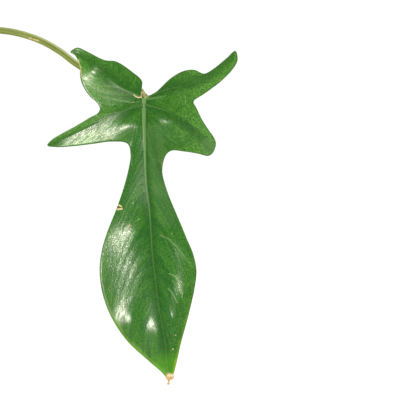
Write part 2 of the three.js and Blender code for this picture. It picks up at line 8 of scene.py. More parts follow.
# %% Load the part
import math
import bpy
import numpy as np
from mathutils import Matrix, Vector


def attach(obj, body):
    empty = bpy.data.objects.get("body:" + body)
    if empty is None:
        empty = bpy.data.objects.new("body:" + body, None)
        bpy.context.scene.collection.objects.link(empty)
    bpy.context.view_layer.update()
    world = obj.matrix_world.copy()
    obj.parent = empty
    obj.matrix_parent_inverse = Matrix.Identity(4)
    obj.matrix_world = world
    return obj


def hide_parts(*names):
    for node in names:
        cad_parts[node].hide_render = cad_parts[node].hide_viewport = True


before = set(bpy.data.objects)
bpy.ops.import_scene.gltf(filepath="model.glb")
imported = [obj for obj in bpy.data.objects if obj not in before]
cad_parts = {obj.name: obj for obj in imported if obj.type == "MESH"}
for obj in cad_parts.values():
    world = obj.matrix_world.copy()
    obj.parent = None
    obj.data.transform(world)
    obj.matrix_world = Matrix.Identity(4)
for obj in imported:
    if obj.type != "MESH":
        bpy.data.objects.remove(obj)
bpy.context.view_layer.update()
MM = 0.001
print(len(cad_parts), "solids loaded")


def added(name, data):
    """A new object in the scene, made of a mesh, a light or a camera."""
    made = bpy.data.objects.new(name, data)
    bpy.context.scene.collection.objects.link(made)
    return made


def looking(direction):
    """The rotation of a camera or a light that looks in a direction."""
    return Vector(direction).to_track_quat("-Z", "Y").to_euler()

# %% [markdown]
# ## Camera
# The picture is a close view of one leaf, square on. A leaf that hangs on an arching stalk faces a little
# upwards, so the camera looks down by the same angle. A long lens from 1.6 m away keeps the leaf free of
# perspective.

# %% Place the camera
LEAF_TILT = math.radians(15)
ACROSS = np.array([1.0, 0.0, 0.0])
UPWARDS = np.array([0.0, math.sin(LEAF_TILT), math.cos(LEAF_TILT)])
OUTWARDS = np.array([0.0, -math.cos(LEAF_TILT), math.sin(LEAF_TILT)])
LEAF_JOINT = np.array([0.180, -0.070, 0.245])  # where the seen blade meets its stalk
PICTURE_SIDE = 416
PIXEL = 0.277333 / PICTURE_SIDE  # metres of leaf plane in one pixel
JOINT_PIXEL = (144, 98)
CAMERA_DISTANCE = 1.6
SENSOR = 36.0

middle = PICTURE_SIDE / 2
aim = (LEAF_JOINT + ACROSS * (middle - JOINT_PIXEL[0]) * PIXEL
       - UPWARDS * (middle - JOINT_PIXEL[1]) * PIXEL)
camera_data = bpy.data.cameras.new("camera")
camera_data.sensor_width = SENSOR
camera_data.lens = SENSOR * CAMERA_DISTANCE / (PICTURE_SIDE * PIXEL)
camera_data.clip_end = 60
camera = added("camera", camera_data)
camera.location = aim + OUTWARDS * CAMERA_DISTANCE
camera.rotation_euler = looking(-OUTWARDS)
bpy.context.scene.camera = camera
print(f"lens {camera_data.lens:.1f} mm, aimed at", np.round(aim, 4))

# %% [markdown]
# ## Small tools for shapes
# Every new piece is a list of points and a list of triangles that numpy works out at once. One function
# turns them into a Blender mesh, joins points that lie on each other, and stores coordinates for the skins
# as UV maps.


# %% Mesh tools
def new_piece(name, points, triangles, maps=None, skins=(), skin_of=None, smooth=True):
    """Makes a mesh object. maps: {name: one pair of numbers for each corner of each triangle}."""
    mesh = bpy.data.meshes.new(name)
    mesh.vertices.add(len(points))
    mesh.vertices.foreach_set("co", np.asarray(points, np.float32).ravel())
    mesh.loops.add(triangles.size)
    mesh.loops.foreach_set("vertex_index", triangles.astype(np.int32).ravel())
    mesh.polygons.add(len(triangles))
    mesh.polygons.foreach_set("loop_start", np.arange(0, triangles.size, 3, dtype=np.int32))
    for key, pairs in (maps or {}).items():
        mesh.uv_layers.new(name=key).uv.foreach_set("vector", np.asarray(pairs, np.float32).ravel())
    for skin in skins:
        mesh.materials.append(skin)
    if skin_of is not None:
        mesh.polygons.foreach_set("material_index", skin_of.astype(np.int32))
    mesh.polygons.foreach_set("use_smooth", np.full(len(triangles), smooth))
    mesh.update(calc_edges=True)
    piece = added(name, mesh)
    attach(piece, "root")
    print(f"{name}: {len(points)} points, {len(triangles)} triangles")
    return piece


def grid_triangles(rows, columns, closed=False, flip=False):
    """Two triangles for each cell of a rows by columns grid, whose last column meets the first if closed."""
    wide = columns if closed else columns - 1
    i, j = np.meshgrid(np.arange(rows - 1), np.arange(wide), indexing="ij")
    a = (i * columns + j).ravel()
    b = (i * columns + (j + 1) % columns).ravel()
    c, d = b + columns, a + columns
    made = np.concatenate([np.stack([a, b, c], 1), np.stack([a, c, d], 1)])
    return made[:, ::-1] if flip else made


def merged(points, triangles, grain=2e-6):
    """Joins points closer than grain, drops triangles that lose a corner. Also says which ones were kept."""
    cells = np.round(points / grain).astype(np.int64)
    _, first, where = np.unique(cells, axis=0, return_index=True, return_inverse=True)
    joined = where.reshape(-1)[triangles]
    kept = ((joined[:, 0] != joined[:, 1]) & (joined[:, 1] != joined[:, 2])
            & (joined[:, 2] != joined[:, 0]))
    return points[first], joined[kept], first, kept


def corner_normals(points, triangles):
    """The unit normal at each point: the sum of its triangles' area vectors."""
    a, b, c = (points[triangles[:, k]] for k in range(3))
    area = np.cross(b - a, c - a)
    total = np.zeros_like(points)
    for k in range(3):
        np.add.at(total, triangles[:, k], area)
    return total / np.maximum(np.linalg.norm(total, axis=1, keepdims=True), 1e-12)


def open_edges(triangles):
    """The edges that only one triangle has, in that triangle's direction."""
    edges = np.concatenate([triangles[:, [0, 1]], triangles[:, [1, 2]], triangles[:, [2, 0]]])
    _, first, count = np.unique(np.sort(edges, 1), axis=0, return_index=True, return_counts=True)
    return edges[first[count == 1]]


def rim_wall(triangles, count):
    """The wall between a sheet and its copy, whose points come count places later."""
    rim = open_edges(triangles)
    return np.concatenate([np.stack([rim[:, 0], rim[:, 0] + count, rim[:, 1] + count], 1),
                           np.stack([rim[:, 0], rim[:, 1] + count, rim[:, 1]], 1)])


def smooth_step(low, high, x):
    """0 below low, 1 above high, and 3x^2 - 2x^3 between."""
    x = np.clip((x - low) / (high - low), 0, 1)
    return x * x * (3 - 2 * x)


# %% [markdown]
# A natural outline has no arcs to measure, so it runs through given keys. A Catmull-Rom curve with
# centripetal spacing passes through each of them and never loops, however uneven they are.


# %% Curves through keys
def spline(keys, u):
    """The curve through the keys, with u from 0 at the first key to 1 at the last one."""
    keys = np.asarray(keys, float)
    padded = np.concatenate([[2 * keys[0] - keys[1]], keys, [2 * keys[-1] - keys[-2]]])
    place = np.asarray(u) * (len(keys) - 1)
    i = np.clip(np.floor(place).astype(int), 0, len(keys) - 2)
    x = (place - i)[..., None]
    p0, p1, p2, p3 = (padded[i + k] for k in range(4))
    d0, d1, d2 = (np.linalg.norm(b - a, axis=-1, keepdims=True) ** 0.5
                  for a, b in ((p0, p1), (p1, p2), (p2, p3)))
    m1 = ((p1 - p0) / d0 - (p2 - p0) / (d0 + d1) + (p2 - p1) / d1) * d1
    m2 = ((p2 - p1) / d1 - (p3 - p1) / (d1 + d2) + (p3 - p2) / d2) * d1
    return p1 + m1 * x + (3 * (p2 - p1) - 2 * m1 - m2) * x**2 + (2 * (p1 - p2) + m1 + m2) * x**3


def distances(path):
    """The distance along a path to each of its points."""
    return np.concatenate([[0], np.cumsum(np.linalg.norm(np.diff(path, axis=0), axis=1))])


def along(keys, share):
    """A point of the same curve by its share of the length."""
    fine = np.linspace(0, 1, 401)
    length = distances(spline(keys, fine))
    return spline(keys, np.interp(np.asarray(share) * length[-1], length, fine))


def tube_frames(path):
    """For the points of a path: its direction, and two directions across it that never twist."""
    forward = np.gradient(path, axis=0)
    forward /= np.linalg.norm(forward, axis=1, keepdims=True)
    flat = np.linalg.svd(path - path.mean(0), full_matrices=False)[2][2]
    side = flat - forward * (forward @ flat)[:, None]
    side /= np.linalg.norm(side, axis=1, keepdims=True)
    return forward, side, np.cross(forward, side)


def tube(path, radius, sides):
    """A closed tube: point (i, k) is path i plus radius (i, k) at angle k, with a point at each end."""
    _, side, other = tube_frames(path)
    angle = np.linspace(0, 2 * np.pi, sides, endpoint=False)
    spoke = (side[:, None] * np.cos(angle)[None, :, None] + other[:, None] * np.sin(angle)[None, :, None])
    ring = path[:, None] + spoke * np.broadcast_to(radius, (len(path), sides))[..., None]
    points = np.concatenate([ring.reshape(-1, 3), path[[0, -1]]])
    wall = grid_triangles(len(path), sides, closed=True)
    k = np.arange(sides)
    end = (len(path) - 1) * sides
    first, last = len(points) - 2, len(points) - 1
    caps = [np.stack([np.full(sides, first), (k + 1) % sides, k], 1),
            np.stack([np.full(sides, last), end + k, end + (k + 1) % sides], 1)]
    return points, np.concatenate([wall, *caps])


def rounded_end(share, start, length):
    """The factor of a tube's radius that rounds its end: 1 up to a share, then down as a quarter circle."""
    return np.sqrt(np.clip(1 - ((share - start) / length).clip(0) ** 2, 0, 1))


def tube_map(path, sides):
    """Skin coordinates of such a tube's corners: length along it in units of 10 mm, share of the turn."""
    gone = distances(path) / (10 * MM)
    i, k = np.meshgrid(np.arange(len(path) - 1), np.arange(sides), indexing="ij")
    low, high = gone[i.ravel()], gone[i.ravel() + 1]
    a, b = k.ravel() / sides, (k.ravel() + 1) / sides
    cells = [[(low, a), (low, b), (high, b)], [(low, a), (high, b), (high, a)]]
    wall = np.concatenate([np.stack([np.stack(corner, 1) for corner in cell], 1) for cell in cells])
    caps = np.zeros((2 * sides, 3, 2))
    caps[sides:, :, 0] = gone[-1]
    return np.concatenate([wall, caps])


# %% [markdown]
# ## The pattern of a blade
# All blades come from one flat pattern in millimetres. The stalk joins at (0, 0), the end lobe points to -v,
# the basal lobes to +v. Each half of the margin is a list of keys, and each key has a foot on a main vein,
# given as a share of that vein. The line from foot to margin is a rib, so the blade is a surface of two
# parameters: the place along the margin, and the share of the way out along a rib. Side veins of a real leaf
# run just like the ribs, so the ribs also steer the fine lines of the skin.

# %% The flat pattern
MIDRIB = [(0, 0), (0, -14.5), (0.5, -31.5), (1.5, -55.5), (4, -77.5), (5.5, -101.5), (7.5, -119.5),
          (10, -139.5), (13.5, -158.5), (16.5, -188)]
SIDE_VEIN_START = 0.022
BLADE_LENGTH = 188.0

RIGHT_HALF = {
    "basal_vein": [(0, 0), (16, 6), (32, 9.5), (47.5, 18.5), (60.5, 30)],
    "side_vein": [(0, -4), (17.5, -10), (34, -22), (46, -35.5)],
    "basal_out": [(2, 0.5), (8.5, 4.5), (17.5, 13), (26, 18), (33.5, 19), (40, 16.5), (46.5, 20), (55, 27),
                  (61, 32)],
    "basal_back": [(62.5, 26), (59.5, 20), (52, 12), (44.5, 6), (39.5, 2.5), (35.5, 0), (33.5, -1.5),
                   (33, -3)],
    "side_out": [(35, -6.5), (38, -13), (43, -21), (46.5, -26), (48, -30.5), (45.5, -37)],
    "side_back": [(42.5, -38.5), (36, -37), (26, -35.5), (18.5, -35), (15, -37.5)],
    "end": [(12.5, -44.5), (12.5, -52), (16.5, -65.5), (22, -78.5), (28.5, -93.5), (33, -104.5), (35, -115.5),
            (33.5, -128), (29.5, -145.5), (24.5, -164), (21.5, -177.5), (19.5, -184.5), (16.5, -189.5)],
}
LEFT_HALF = {
    "basal_vein": [(0, 0), (-17.5, 8.5), (-30.5, 20), (-40, 27.5), (-47.5, 32)],
    "side_vein": [(0, -4), (-17.5, -10), (-39.5, -20.5), (-64, -31.5)],
    "basal_out": [(-1.5, 0.5), (-1.5, 5.5), (-1.5, 11.5), (-8.5, 18), (-18.5, 24.5), (-26.5, 25.5),
                  (-38.5, 31.5), (-45, 34), (-49.5, 31)],
    "basal_back": [(-46.5, 29), (-44.5, 25.5), (-43, 20.5), (-42.5, 13), (-40, 6.5), (-36, 1), (-31.5, -3),
                   (-29.5, -7)],
    "side_out": [(-31, -10), (-35.5, -12.5), (-46.5, -19), (-56, -24), (-62.5, -28), (-65, -31.5)],
    "side_back": [(-59.5, -32.5), (-48, -32), (-34.5, -30.5), (-21.5, -29), (-11, -30.5)],
    "end": [(-9, -38), (-10, -46.5), (-13.5, -60), (-18.5, -74.5), (-24.5, -89.5), (-28, -101.5),
            (-29.5, -113.5), (-28, -128.5), (-22.5, -144.5), (-11.5, -161.5), (3.5, -175.5), (13, -184),
            (16.5, -189.5)],
}
BASAL_FEET = [0, 0.12, 0.25, 0.38, 0.5, 0.62, 0.76, 0.88, 0.96]
SIDE_FEET = [0, 0.2, 0.45, 0.7, 0.88, 0.97]
END_FEET = [0.07, 0.11, 0.19, 0.25, 0.31, 0.37, 0.44, 0.52, 0.63, 0.75, 0.86, 0.94, 0.99]
BASAL, SIDE, MID = 0, 1, 2


def out_and_back(feet):
    """The feet up a lobe's vein and down its other side again, without the tip twice."""
    return feet + feet[-2::-1]


FOOT_SHARE = np.array(out_and_back(BASAL_FEET) + out_and_back(SIDE_FEET) + END_FEET)
FOOT_VEIN = np.array([BASAL] * (2 * len(BASAL_FEET) - 1) + [SIDE] * (2 * len(SIDE_FEET) - 1)
                     + [MID] * len(END_FEET))
KEYS = len(FOOT_SHARE)
for half in (RIGHT_HALF, LEFT_HALF):
    half["margin"] = [key for part in ("basal_out", "basal_back", "side_out", "side_back", "end")
                      for key in half[part]]
    assert len(half["margin"]) == KEYS
print(KEYS, "keys in each half of the margin")


# %% Ribs
def rib_feet(half, place):
    """The foot of the rib at a place along the margin, the share of its vein, and which vein.
    Between two keys on one vein the share goes evenly. From vein to vein the foot slides along the midrib."""
    i = np.clip(np.floor(place).astype(int), 0, KEYS - 2)
    x = place - i
    same = FOOT_VEIN[i] == FOOT_VEIN[i + 1]
    vein = np.where(same, FOOT_VEIN[i], MID)
    on_midrib = np.where(FOOT_VEIN == BASAL, 0, np.where(FOOT_VEIN == SIDE, SIDE_VEIN_START, FOOT_SHARE))
    low = np.where(same, FOOT_SHARE[i], on_midrib[i])
    high = np.where(same, FOOT_SHARE[i + 1], on_midrib[i + 1])
    share = low + (high - low) * x
    curves = [along(keys, share) for keys in (half["basal_vein"], half["side_vein"], MIDRIB)]
    return np.choose(vein[:, None], curves), share, vein


# %% [markdown]
# A blade is not flat. The midrib bows, each half swells beside the sunk vein and falls away to the margin,
# the margin waves, and old leaves curl and twist. Each of those is one term of the height over the flat
# pattern, with its size in millimetres on a full-size blade. The leaf in the picture is the plain shape. The
# others differ.

# %% Shape terms
PLAIN_SHAPE = dict(
    scale=1.0,
    flip=False,  # mirrored left to right
    lift=0.0,  # how far the lobes are raised, per millimetre from the midrib
    fill=0.0,  # how much less narrow the waist is
    sway=0.0,  # sideways curve of the end lobe
    arch=5.0,  # bow of the midrib towards the upper side
    flick=3.0,  # turn of the tip towards the upper side
    arm=-7.0,  # bend of the lobes' tips, towards the upper side where positive
    droop=0.17,  # fall of the margin, as a share of the rib
    crest=1.0,  # height of the swelling beside the midrib
    lobe_crest=0.25,  # the same beside the veins of the lobes
    wave=1.2,  # height of the waves along the margin
    waves=5,
    phase=0.6,
    bend=0.0,  # degrees that the end lobe curls backwards in all
    twist=0.0,  # degrees that the end lobe turns about its midrib
    tent=0.0,  # fall of each half from the midrib, per millimetre
)
CREST_REACH = 6.0
ARM_REACH = 55.0
RIB_SWEEP = 0.07
VEIN_SPACING = 8.5  # between the faint side veins, in millimetres along the blade
VEIN_DEPTH = 0.07
VEIN_BEND = 0.9  # how far they bend towards the end of their lobe, as a share of their length


def warped(flat, shape):
    """Fills the waist, sways the end lobe sideways and lifts the lobes, in the flat."""
    u, v = flat[..., 0], flat[..., 1]
    arms = smooth_step(-70, -22, v)
    waist = np.exp(-(((v + 46) / 20) ** 2))
    return (u * (1 + shape["fill"] * waist) + shape["sway"] * (np.minimum(v, 0) / BLADE_LENGTH) ** 2,
            v + shape["lift"] * np.abs(u) * arms)


def curled(u, v, w, shape):
    """Turns the end lobe about its midrib, then rolls it backwards on a circle."""
    share = np.maximum(-v, 0) / BLADE_LENGTH
    turn = math.radians(shape["twist"]) * share
    u, w = u * np.cos(turn) + w * np.sin(turn), w * np.cos(turn) - u * np.sin(turn)
    if not shape["bend"]:
        return np.stack([u, v, w], -1)
    curvature = math.radians(shape["bend"]) / BLADE_LENGTH
    angle = np.maximum(-v, 0) * curvature
    lower = v < 0
    return np.stack([u, np.where(lower, -np.sin(angle) * (1 / curvature + w), v),
                     np.where(lower, w * np.cos(angle) - (1 - np.cos(angle)) / curvature, w)], -1)


def blade_half(half, steps, rows, shape):
    """One half of a blade, as a grid of ribs by rows, with what its skin needs. In the flat, a point is the
    foot plus a share of the rib, swept a little up. Its height is the midrib's arch and flick, or the lobe's
    bend by distance squared, plus the swelling 1 - exp(-d^2), minus the droop by share squared, plus the
    margin's wave."""
    place = np.linspace(0, KEYS - 1, (KEYS - 1) * steps + 1)
    foot, share, vein = rib_feet(half, place)
    edge = spline(half["margin"], place / (KEYS - 1))
    rib = edge - foot
    length = np.linalg.norm(rib, axis=1)[:, None]
    on_mid = (vein == MID)[:, None]
    share = share[:, None]
    t = np.asarray(rows)[None, :]
    flat = foot[:, None] + rib[:, None] * t[..., None]
    sweep = np.where(on_mid, RIB_SWEEP * np.minimum(share / 0.15, 1) * length, 0)
    flat[..., 1] += sweep * 4 * t * (1 - t)
    d = length * t
    mid_share = np.where(on_mid, share, 0)
    tip = np.maximum(mid_share - 0.7, 0) / 0.3
    reach = np.where(on_mid, 0, np.linalg.norm(foot, axis=1)[:, None])
    rise = (shape["arch"] * 4 * mid_share * (1 - mid_share) + shape["flick"] * tip**2
            + shape["arm"] * (reach / ARM_REACH) ** 2)
    grown = np.where(on_mid, smooth_step(0.02, 0.14, mid_share), 0)
    crest = shape["lobe_crest"] + (shape["crest"] - shape["lobe_crest"]) * grown
    swell = crest * (1 - np.exp(-((d / CREST_REACH) ** 2)))
    fall = shape["droop"] * length * t**2
    wave = shape["wave"] * length / 30 * t**2 * np.sin(
        2 * np.pi * shape["waves"] * place[:, None] / (KEYS - 1) + shape["phase"])
    run = distances(foot + rib * 0.6)
    outwards = np.clip(np.gradient(np.linalg.norm(foot, axis=1)) / np.gradient(run), -1, 1)
    run = run[:, None] - VEIN_BEND * outwards[:, None] * length * t**2
    beat = 2 * np.pi * (run + 1.6 * np.sin(run / 11)) / VEIN_SPACING
    fade = smooth_step(0, 5, d) * (1 - smooth_step(0.6, 0.95, t))
    groove = VEIN_DEPTH * (0.5 + 0.5 * np.cos(beat)) ** 4 * fade
    slant = np.where(on_mid, 0.75, 0.85)
    course = np.gradient(foot, axis=0)
    off_vein = d * np.abs(course[:, 0] * rib[:, 1] - course[:, 1] * rib[:, 0])[:, None] / (
        length * np.maximum(np.linalg.norm(course, axis=1), 1e-9)[:, None])
    vein_width = np.where(on_mid, 0.35 + 1.05 * np.exp(-mid_share * 6), 0.2 + 0.5 * np.exp(-share * 5))
    vein_tone = np.where(on_mid, 1 - 0.75 * smooth_step(0, 0.7, mid_share),
                         0.3 * (1 - smooth_step(0, 0.6, share)))
    return {
        "flat": flat,
        "height": rise + swell - fall + wave,
        "groove": groove,
        "margin": (length - d) * slant,
        "keel": np.where(on_mid, 1.5, 0.5) * (1 - share) ** 0.8 * np.exp(-((d * slant / 1.5) ** 2)),
        "ribs": np.stack([run, d], -1) / 10,
        "edges": np.stack([off_vein / vein_width, (length - d) * slant], -1),
        "tone": np.stack([vein_tone + 0 * d, share + 0 * d], -1),
    }


# %% [markdown]
# The two halves meet on the midrib, and the two sides of a lobe meet on its vein. Joining equal points sews
# them. A seam between two formulas would show as a crease in a glossy skin, so the height then settles: each
# point moves towards its neighbours, round after round. Side veins and swellings come after that, and the
# curl comes last.


# %% The sheet of a blade
def settle(flat, height, triangles, rounds):
    """Each round moves a height halfway to its neighbours' mean, weighted by one over their distance."""
    pairs = np.concatenate([triangles[:, [0, 1]], triangles[:, [1, 2]], triangles[:, [2, 0]]])
    pairs = np.unique(np.sort(pairs, 1), axis=0)
    one, other = np.concatenate([pairs, pairs[:, ::-1]]).T
    weight = 1 / np.linalg.norm(flat[one] - flat[other], axis=1)
    total = np.bincount(one, weight)
    for _ in range(rounds):
        height = 0.5 * height + 0.5 * np.bincount(one, weight * height[other]) / total
    return height


def blade_sheet(leaf, steps, rows, rounds, swells=()):
    """The middle surface of a blade in its own frame, in millimetres, with the grid that it was sewn from."""
    shape = {**PLAIN_SHAPE, **leaf["shape"]}
    halves = [blade_half(half, steps, rows, shape) for half in (RIGHT_HALF, LEFT_HALF)]
    ribs, columns = halves[0]["height"].shape
    grid = np.concatenate([grid_triangles(ribs, columns, flip=not shape["flip"]),
                           grid_triangles(ribs, columns, flip=shape["flip"]) + ribs * columns])
    loose = {key: np.concatenate([half[key].reshape(ribs * columns, -1) for half in halves])
             for key in halves[0]}
    flat, triangles, first, kept = merged(loose["flat"], grid, grain=1e-3)
    height = settle(flat, loose["height"][first, 0], triangles, rounds) - loose["groove"][first, 0]
    away_from_joint = 1 - np.exp(-(flat[:, 0] ** 2 + (flat[:, 1] + 2) ** 2) / 10**2)
    for at_u, at_v, wide, tall, turn, lift in swells:
        c, s = math.cos(turn), math.sin(turn)
        x, y = flat[:, 0] - at_u, flat[:, 1] - at_v
        swelling = np.exp(-(((c * x + s * y) / wide) ** 2) - ((c * y - s * x) / tall) ** 2)
        height += lift * away_from_joint * swelling
    u, v = warped(flat, shape)
    points = curled(u, v, height - shape["tent"] * np.abs(u), shape) * shape["scale"]
    if shape["flip"]:
        points[:, 0] *= -1
    return points, triangles, first, loose, grid[kept]


# %% [markdown]
# The sheet gets its thickness along its own normals, thin at the margin, with the veins standing out below.

# %% Blade pieces
FINE_ROWS = [0, 0.008, 0.017, 0.028, 0.041, 0.058, 0.08, 0.11, 0.15, 0.2, 0.26, 0.32, 0.39, 0.46, 0.53, 0.6,
             0.67, 0.74, 0.8, 0.86, 0.91, 0.95, 0.98, 1]
COARSE_ROWS = [0, 0.015, 0.035, 0.06, 0.1, 0.16, 0.24, 0.33, 0.43, 0.54, 0.65, 0.76, 0.87, 0.95, 1]
MARGIN_HALF_THICKNESS, HALF_THICKNESS_GAIN = 0.06, 0.3  # at the margin, and what comes to it further in
THINNING = 0.8  # from the margin to the full thickness


def blade_piece(name, leaf, skins, **sheet):
    """The whole blade: upper face, lower face and rim, moved from its own plane to its place on the plant."""
    points, upper, first, loose, corners = blade_sheet(leaf, **sheet)
    normal = corner_normals(points, upper)
    keel = loose["keel"][first] * leaf["shape"].get("scale", 1.0)
    inland = np.sqrt(np.clip(loose["margin"][first] / THINNING, 0, 1))
    half_thick = HALF_THICKNESS_GAIN * inland + MARGIN_HALF_THICKNESS
    top = points + normal * half_thick
    bottom = points - normal * (half_thick + keel)
    count = len(points)
    wall = rim_wall(upper, count)
    triangles = np.concatenate([upper, upper[:, ::-1] + count, wall])
    pairs = {"plan": loose["flat"] / 10, **{key: loose[key] for key in ("ribs", "edges", "tone")}}
    maps = {key: np.concatenate([values[corners], values[corners[:, ::-1]],
                                 values[first][wall % count]]) for key, values in pairs.items()}
    skin_of = np.concatenate([np.zeros(len(upper)), np.ones(len(upper)), np.zeros(len(wall))])
    placed = np.concatenate([top, bottom]) * MM @ leaf["turn"].T + leaf["joint"]
    piece = new_piece(f"{name}_blade_skin", placed, triangles, maps, skins, skin_of)
    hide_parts(f"{name}_blade")
    return points


# %% [markdown]
# ## Where the leaves are
# The same list as in the part: the node on the stem, the heading in which the stalk leaves and how steeply,
# the point where the blade joins, the heading that its face turns to, how far it hangs, and its own shape.

# %% The leaves
LEAVES = [
    dict(node=0, leave=192, climb=40, at=(-150, -28, 158), face=196, pitch=66, roll=6, rise=70, reach=55,
         shape=dict(scale=0.8, flip=True, lift=-0.12, bend=24, twist=12, tent=0.1, sway=6, phase=2)),
    dict(node=1, leave=84, climb=52, at=(-6, 138, 188), face=82, pitch=60, roll=-5, rise=75, reach=60,
         shape=dict(scale=0.84, lift=0.14, bend=30, twist=-14, tent=0.06, fill=0.15, phase=4)),
    dict(node=2, leave=232, climb=52, at=(-98, -142, 216), face=236, pitch=62, roll=8, rise=85, reach=60,
         shape=dict(scale=0.9, lift=0.08, bend=22, twist=10, tent=0.08, sway=-8, waves=6, phase=5)),
    dict(node=3, leave=-14, climb=58, at=(180, -70, 245), face=-90, pitch=75, roll=0, shape={}),
    dict(node=4, leave=138, climb=58, at=(-112, 118, 286), face=134, pitch=58, roll=-8, rise=90, reach=65,
         shape=dict(scale=0.95, flip=True, lift=0.05, bend=28, twist=16, tent=0.08, phase=1)),
    dict(node=5, leave=184, climb=64, at=(-118, -30, 330), face=200, pitch=52, roll=10, rise=85, reach=55,
         shape=dict(scale=0.86, lift=0.18, bend=26, twist=-12, tent=0.05, fill=0.2, sway=7, phase=3.2)),
    dict(node=6, leave=58, climb=74, at=(44, 60, 366), face=56, pitch=24, roll=-6, rise=80, reach=30,
         shape=dict(scale=0.62, flip=True, lift=0.1, fill=0.4, bend=20, tent=-0.06, arm=4, phase=0)),
]
SEEN_LEAF = 3


def heading(azimuth, elevation):
    """A unit vector with a compass heading and an angle above the horizon, both in degrees."""
    a, e = math.radians(azimuth), math.radians(elevation)
    return np.array([math.cos(a) * math.cos(e), math.sin(a) * math.cos(e), math.sin(e)])


for leaf in LEAVES:
    face, pitch = heading(leaf["face"], 0), math.radians(leaf["pitch"])
    normal = face * math.sin(pitch) + np.array([0, 0, math.cos(pitch)])
    up = -face * math.cos(pitch) + np.array([0, 0, math.sin(pitch)])
    roll = math.radians(leaf["roll"])
    up = up * math.cos(roll) + np.cross(normal, up) * math.sin(roll)
    leaf["turn"] = np.stack([np.cross(up, normal), up, normal], 1)
    leaf["joint"] = np.array(leaf["at"]) * MM
    leaf["normal"] = normal

# %% [markdown]
# ## Skins
# A skin is a tree of shader nodes. Small helpers keep the trees short to write. What several skins share,
# such as fine lines, speckle or a scar, is a node group, built once.


# %% Node helpers
def plug(tree, socket, value):
    """Links an input to another node's output, or sets it to a constant."""
    if isinstance(value, bpy.types.NodeSocket):
        tree.links.new(value, socket)
    else:
        socket.default_value = value


def node(tree, kind, inputs=None, **fields):
    """Adds a shader node and sets its fields and its inputs. The key 0 or a name finds an input."""
    made = tree.nodes.new("ShaderNode" + kind)
    for key, value in fields.items():
        setattr(made, key, value)
    for key, value in (inputs or {}).items():
        plug(tree, made.inputs[key], value)
    return made


def calc(tree, operation, a, b=0.0, clamp=False):
    """One sum on numbers."""
    return node(tree, "Math", {0: a, 1: b}, operation=operation, use_clamp=clamp).outputs[0]


def times(tree, a, b):
    """The product of two numbers."""
    return calc(tree, "MULTIPLY", a, b)


def plus(tree, a, b):
    """The sum of two numbers."""
    return calc(tree, "ADD", a, b)


def larger(tree, a, b):
    """The larger one of two numbers."""
    return calc(tree, "MAXIMUM", a, b)


def vectors(tree, operation, a, b, result="Vector"):
    """One sum on vectors. Only SCALE takes a number as its second value."""
    second = "Scale" if operation == "SCALE" else 1
    return node(tree, "VectorMath", {0: a, second: b}, operation=operation).outputs[result]


def ramp(tree, value, low, high, to_low=0.0, to_high=1.0):
    """Reads a number off a smooth slope from to_low at low to to_high at high."""
    inputs = {0: value, 1: low, 2: high, 3: to_low, 4: to_high}
    return node(tree, "MapRange", inputs, interpolation_type="SMOOTHSTEP").outputs[0]


def mix(tree, factor, a, b):
    """Goes from colour a to colour b by a factor."""
    return node(tree, "Mix", {0: factor, 6: a, 7: b}, data_type="RGBA").outputs[2]


def stored(tree, name):
    """The coordinates that a piece stores under a name."""
    return node(tree, "UVMap", uv_map=name).outputs[0]


def object_place(tree):
    """The place in the object's own space, in metres."""
    return node(tree, "TexCoord").outputs["Object"]


def split(tree, vector):
    """The three numbers of a vector."""
    return node(tree, "SeparateXYZ", {0: vector}).outputs


def stretched(tree, where, stretch):
    """A place whose coordinates are multiplied by three numbers. A number under 1 draws a pattern out."""
    return node(tree, "Mapping", {0: where, 3: stretch}).outputs[0]


def noise(tree, where, scale, detail=3.0, rough=0.5, stretch=None):
    """Noise from 0 to 1 at a place, which can be stretched first."""
    inputs = {"Vector": stretched(tree, where, stretch) if stretch else where, "Scale": scale}
    return node(tree, "TexNoise", {**inputs, "Detail": detail, "Roughness": rough}).outputs[0]


def cell_edges(tree, where, scale):
    """The distance to the nearest edge in a net of cells."""
    inputs = {"Vector": where, "Scale": scale}
    return node(tree, "TexVoronoi", inputs, feature="DISTANCE_TO_EDGE").outputs["Distance"]


def colour(r, g, b):
    """A colour as a screen shows it, from 0 to 255, as the shader's linear values."""
    screen = np.array([r, g, b]) / 255
    linear = np.where(screen <= 0.04045, screen / 12.92, ((screen + 0.055) / 1.055) ** 2.4)
    return (*linear.tolist(), 1.0)


def new_group(name, inputs, outputs):
    """An empty node group with named sockets: {name: Float or Vector}."""
    tree = bpy.data.node_groups.new(name, "ShaderNodeTree")
    for side, sockets in (("INPUT", inputs), ("OUTPUT", outputs)):
        for key, kind in sockets.items():
            tree.interface.new_socket(name=key, in_out=side, socket_type=f"NodeSocket{kind}")
    return tree, tree.nodes.new("NodeGroupInput").outputs, tree.nodes.new("NodeGroupOutput").inputs


def use_group(tree, group, inputs):
    """Places a group in a material."""
    made = tree.nodes.new("ShaderNodeGroup")
    made.node_tree = group
    for key, value in inputs.items():
        plug(tree, made.inputs[key], value)
    return made.outputs


def new_skin(name, **sockets):
    """A material with one Principled BSDF, whose constant sockets are set here."""
    skin = bpy.data.materials.new(name)
    skin.use_nodes = True
    shader = skin.node_tree.nodes["Principled BSDF"]
    for key, value in sockets.items():
        shader.inputs[key.replace("_", " ")].default_value = value
    return skin, skin.node_tree, shader.inputs


def dress(tree, shader, tone, height, strength, depth, rough=None):
    """Links a skin's colour, its relief, with its depth in millimetres, and its roughness if that varies."""
    tree.links.new(tone, shader["Base Color"])
    if rough is not None:
        tree.links.new(rough, shader["Roughness"])
    relief = node(tree, "Bump", {"Strength": strength, "Distance": depth * MM, "Height": height})
    tree.links.new(relief.outputs[0], shader["Normal"])


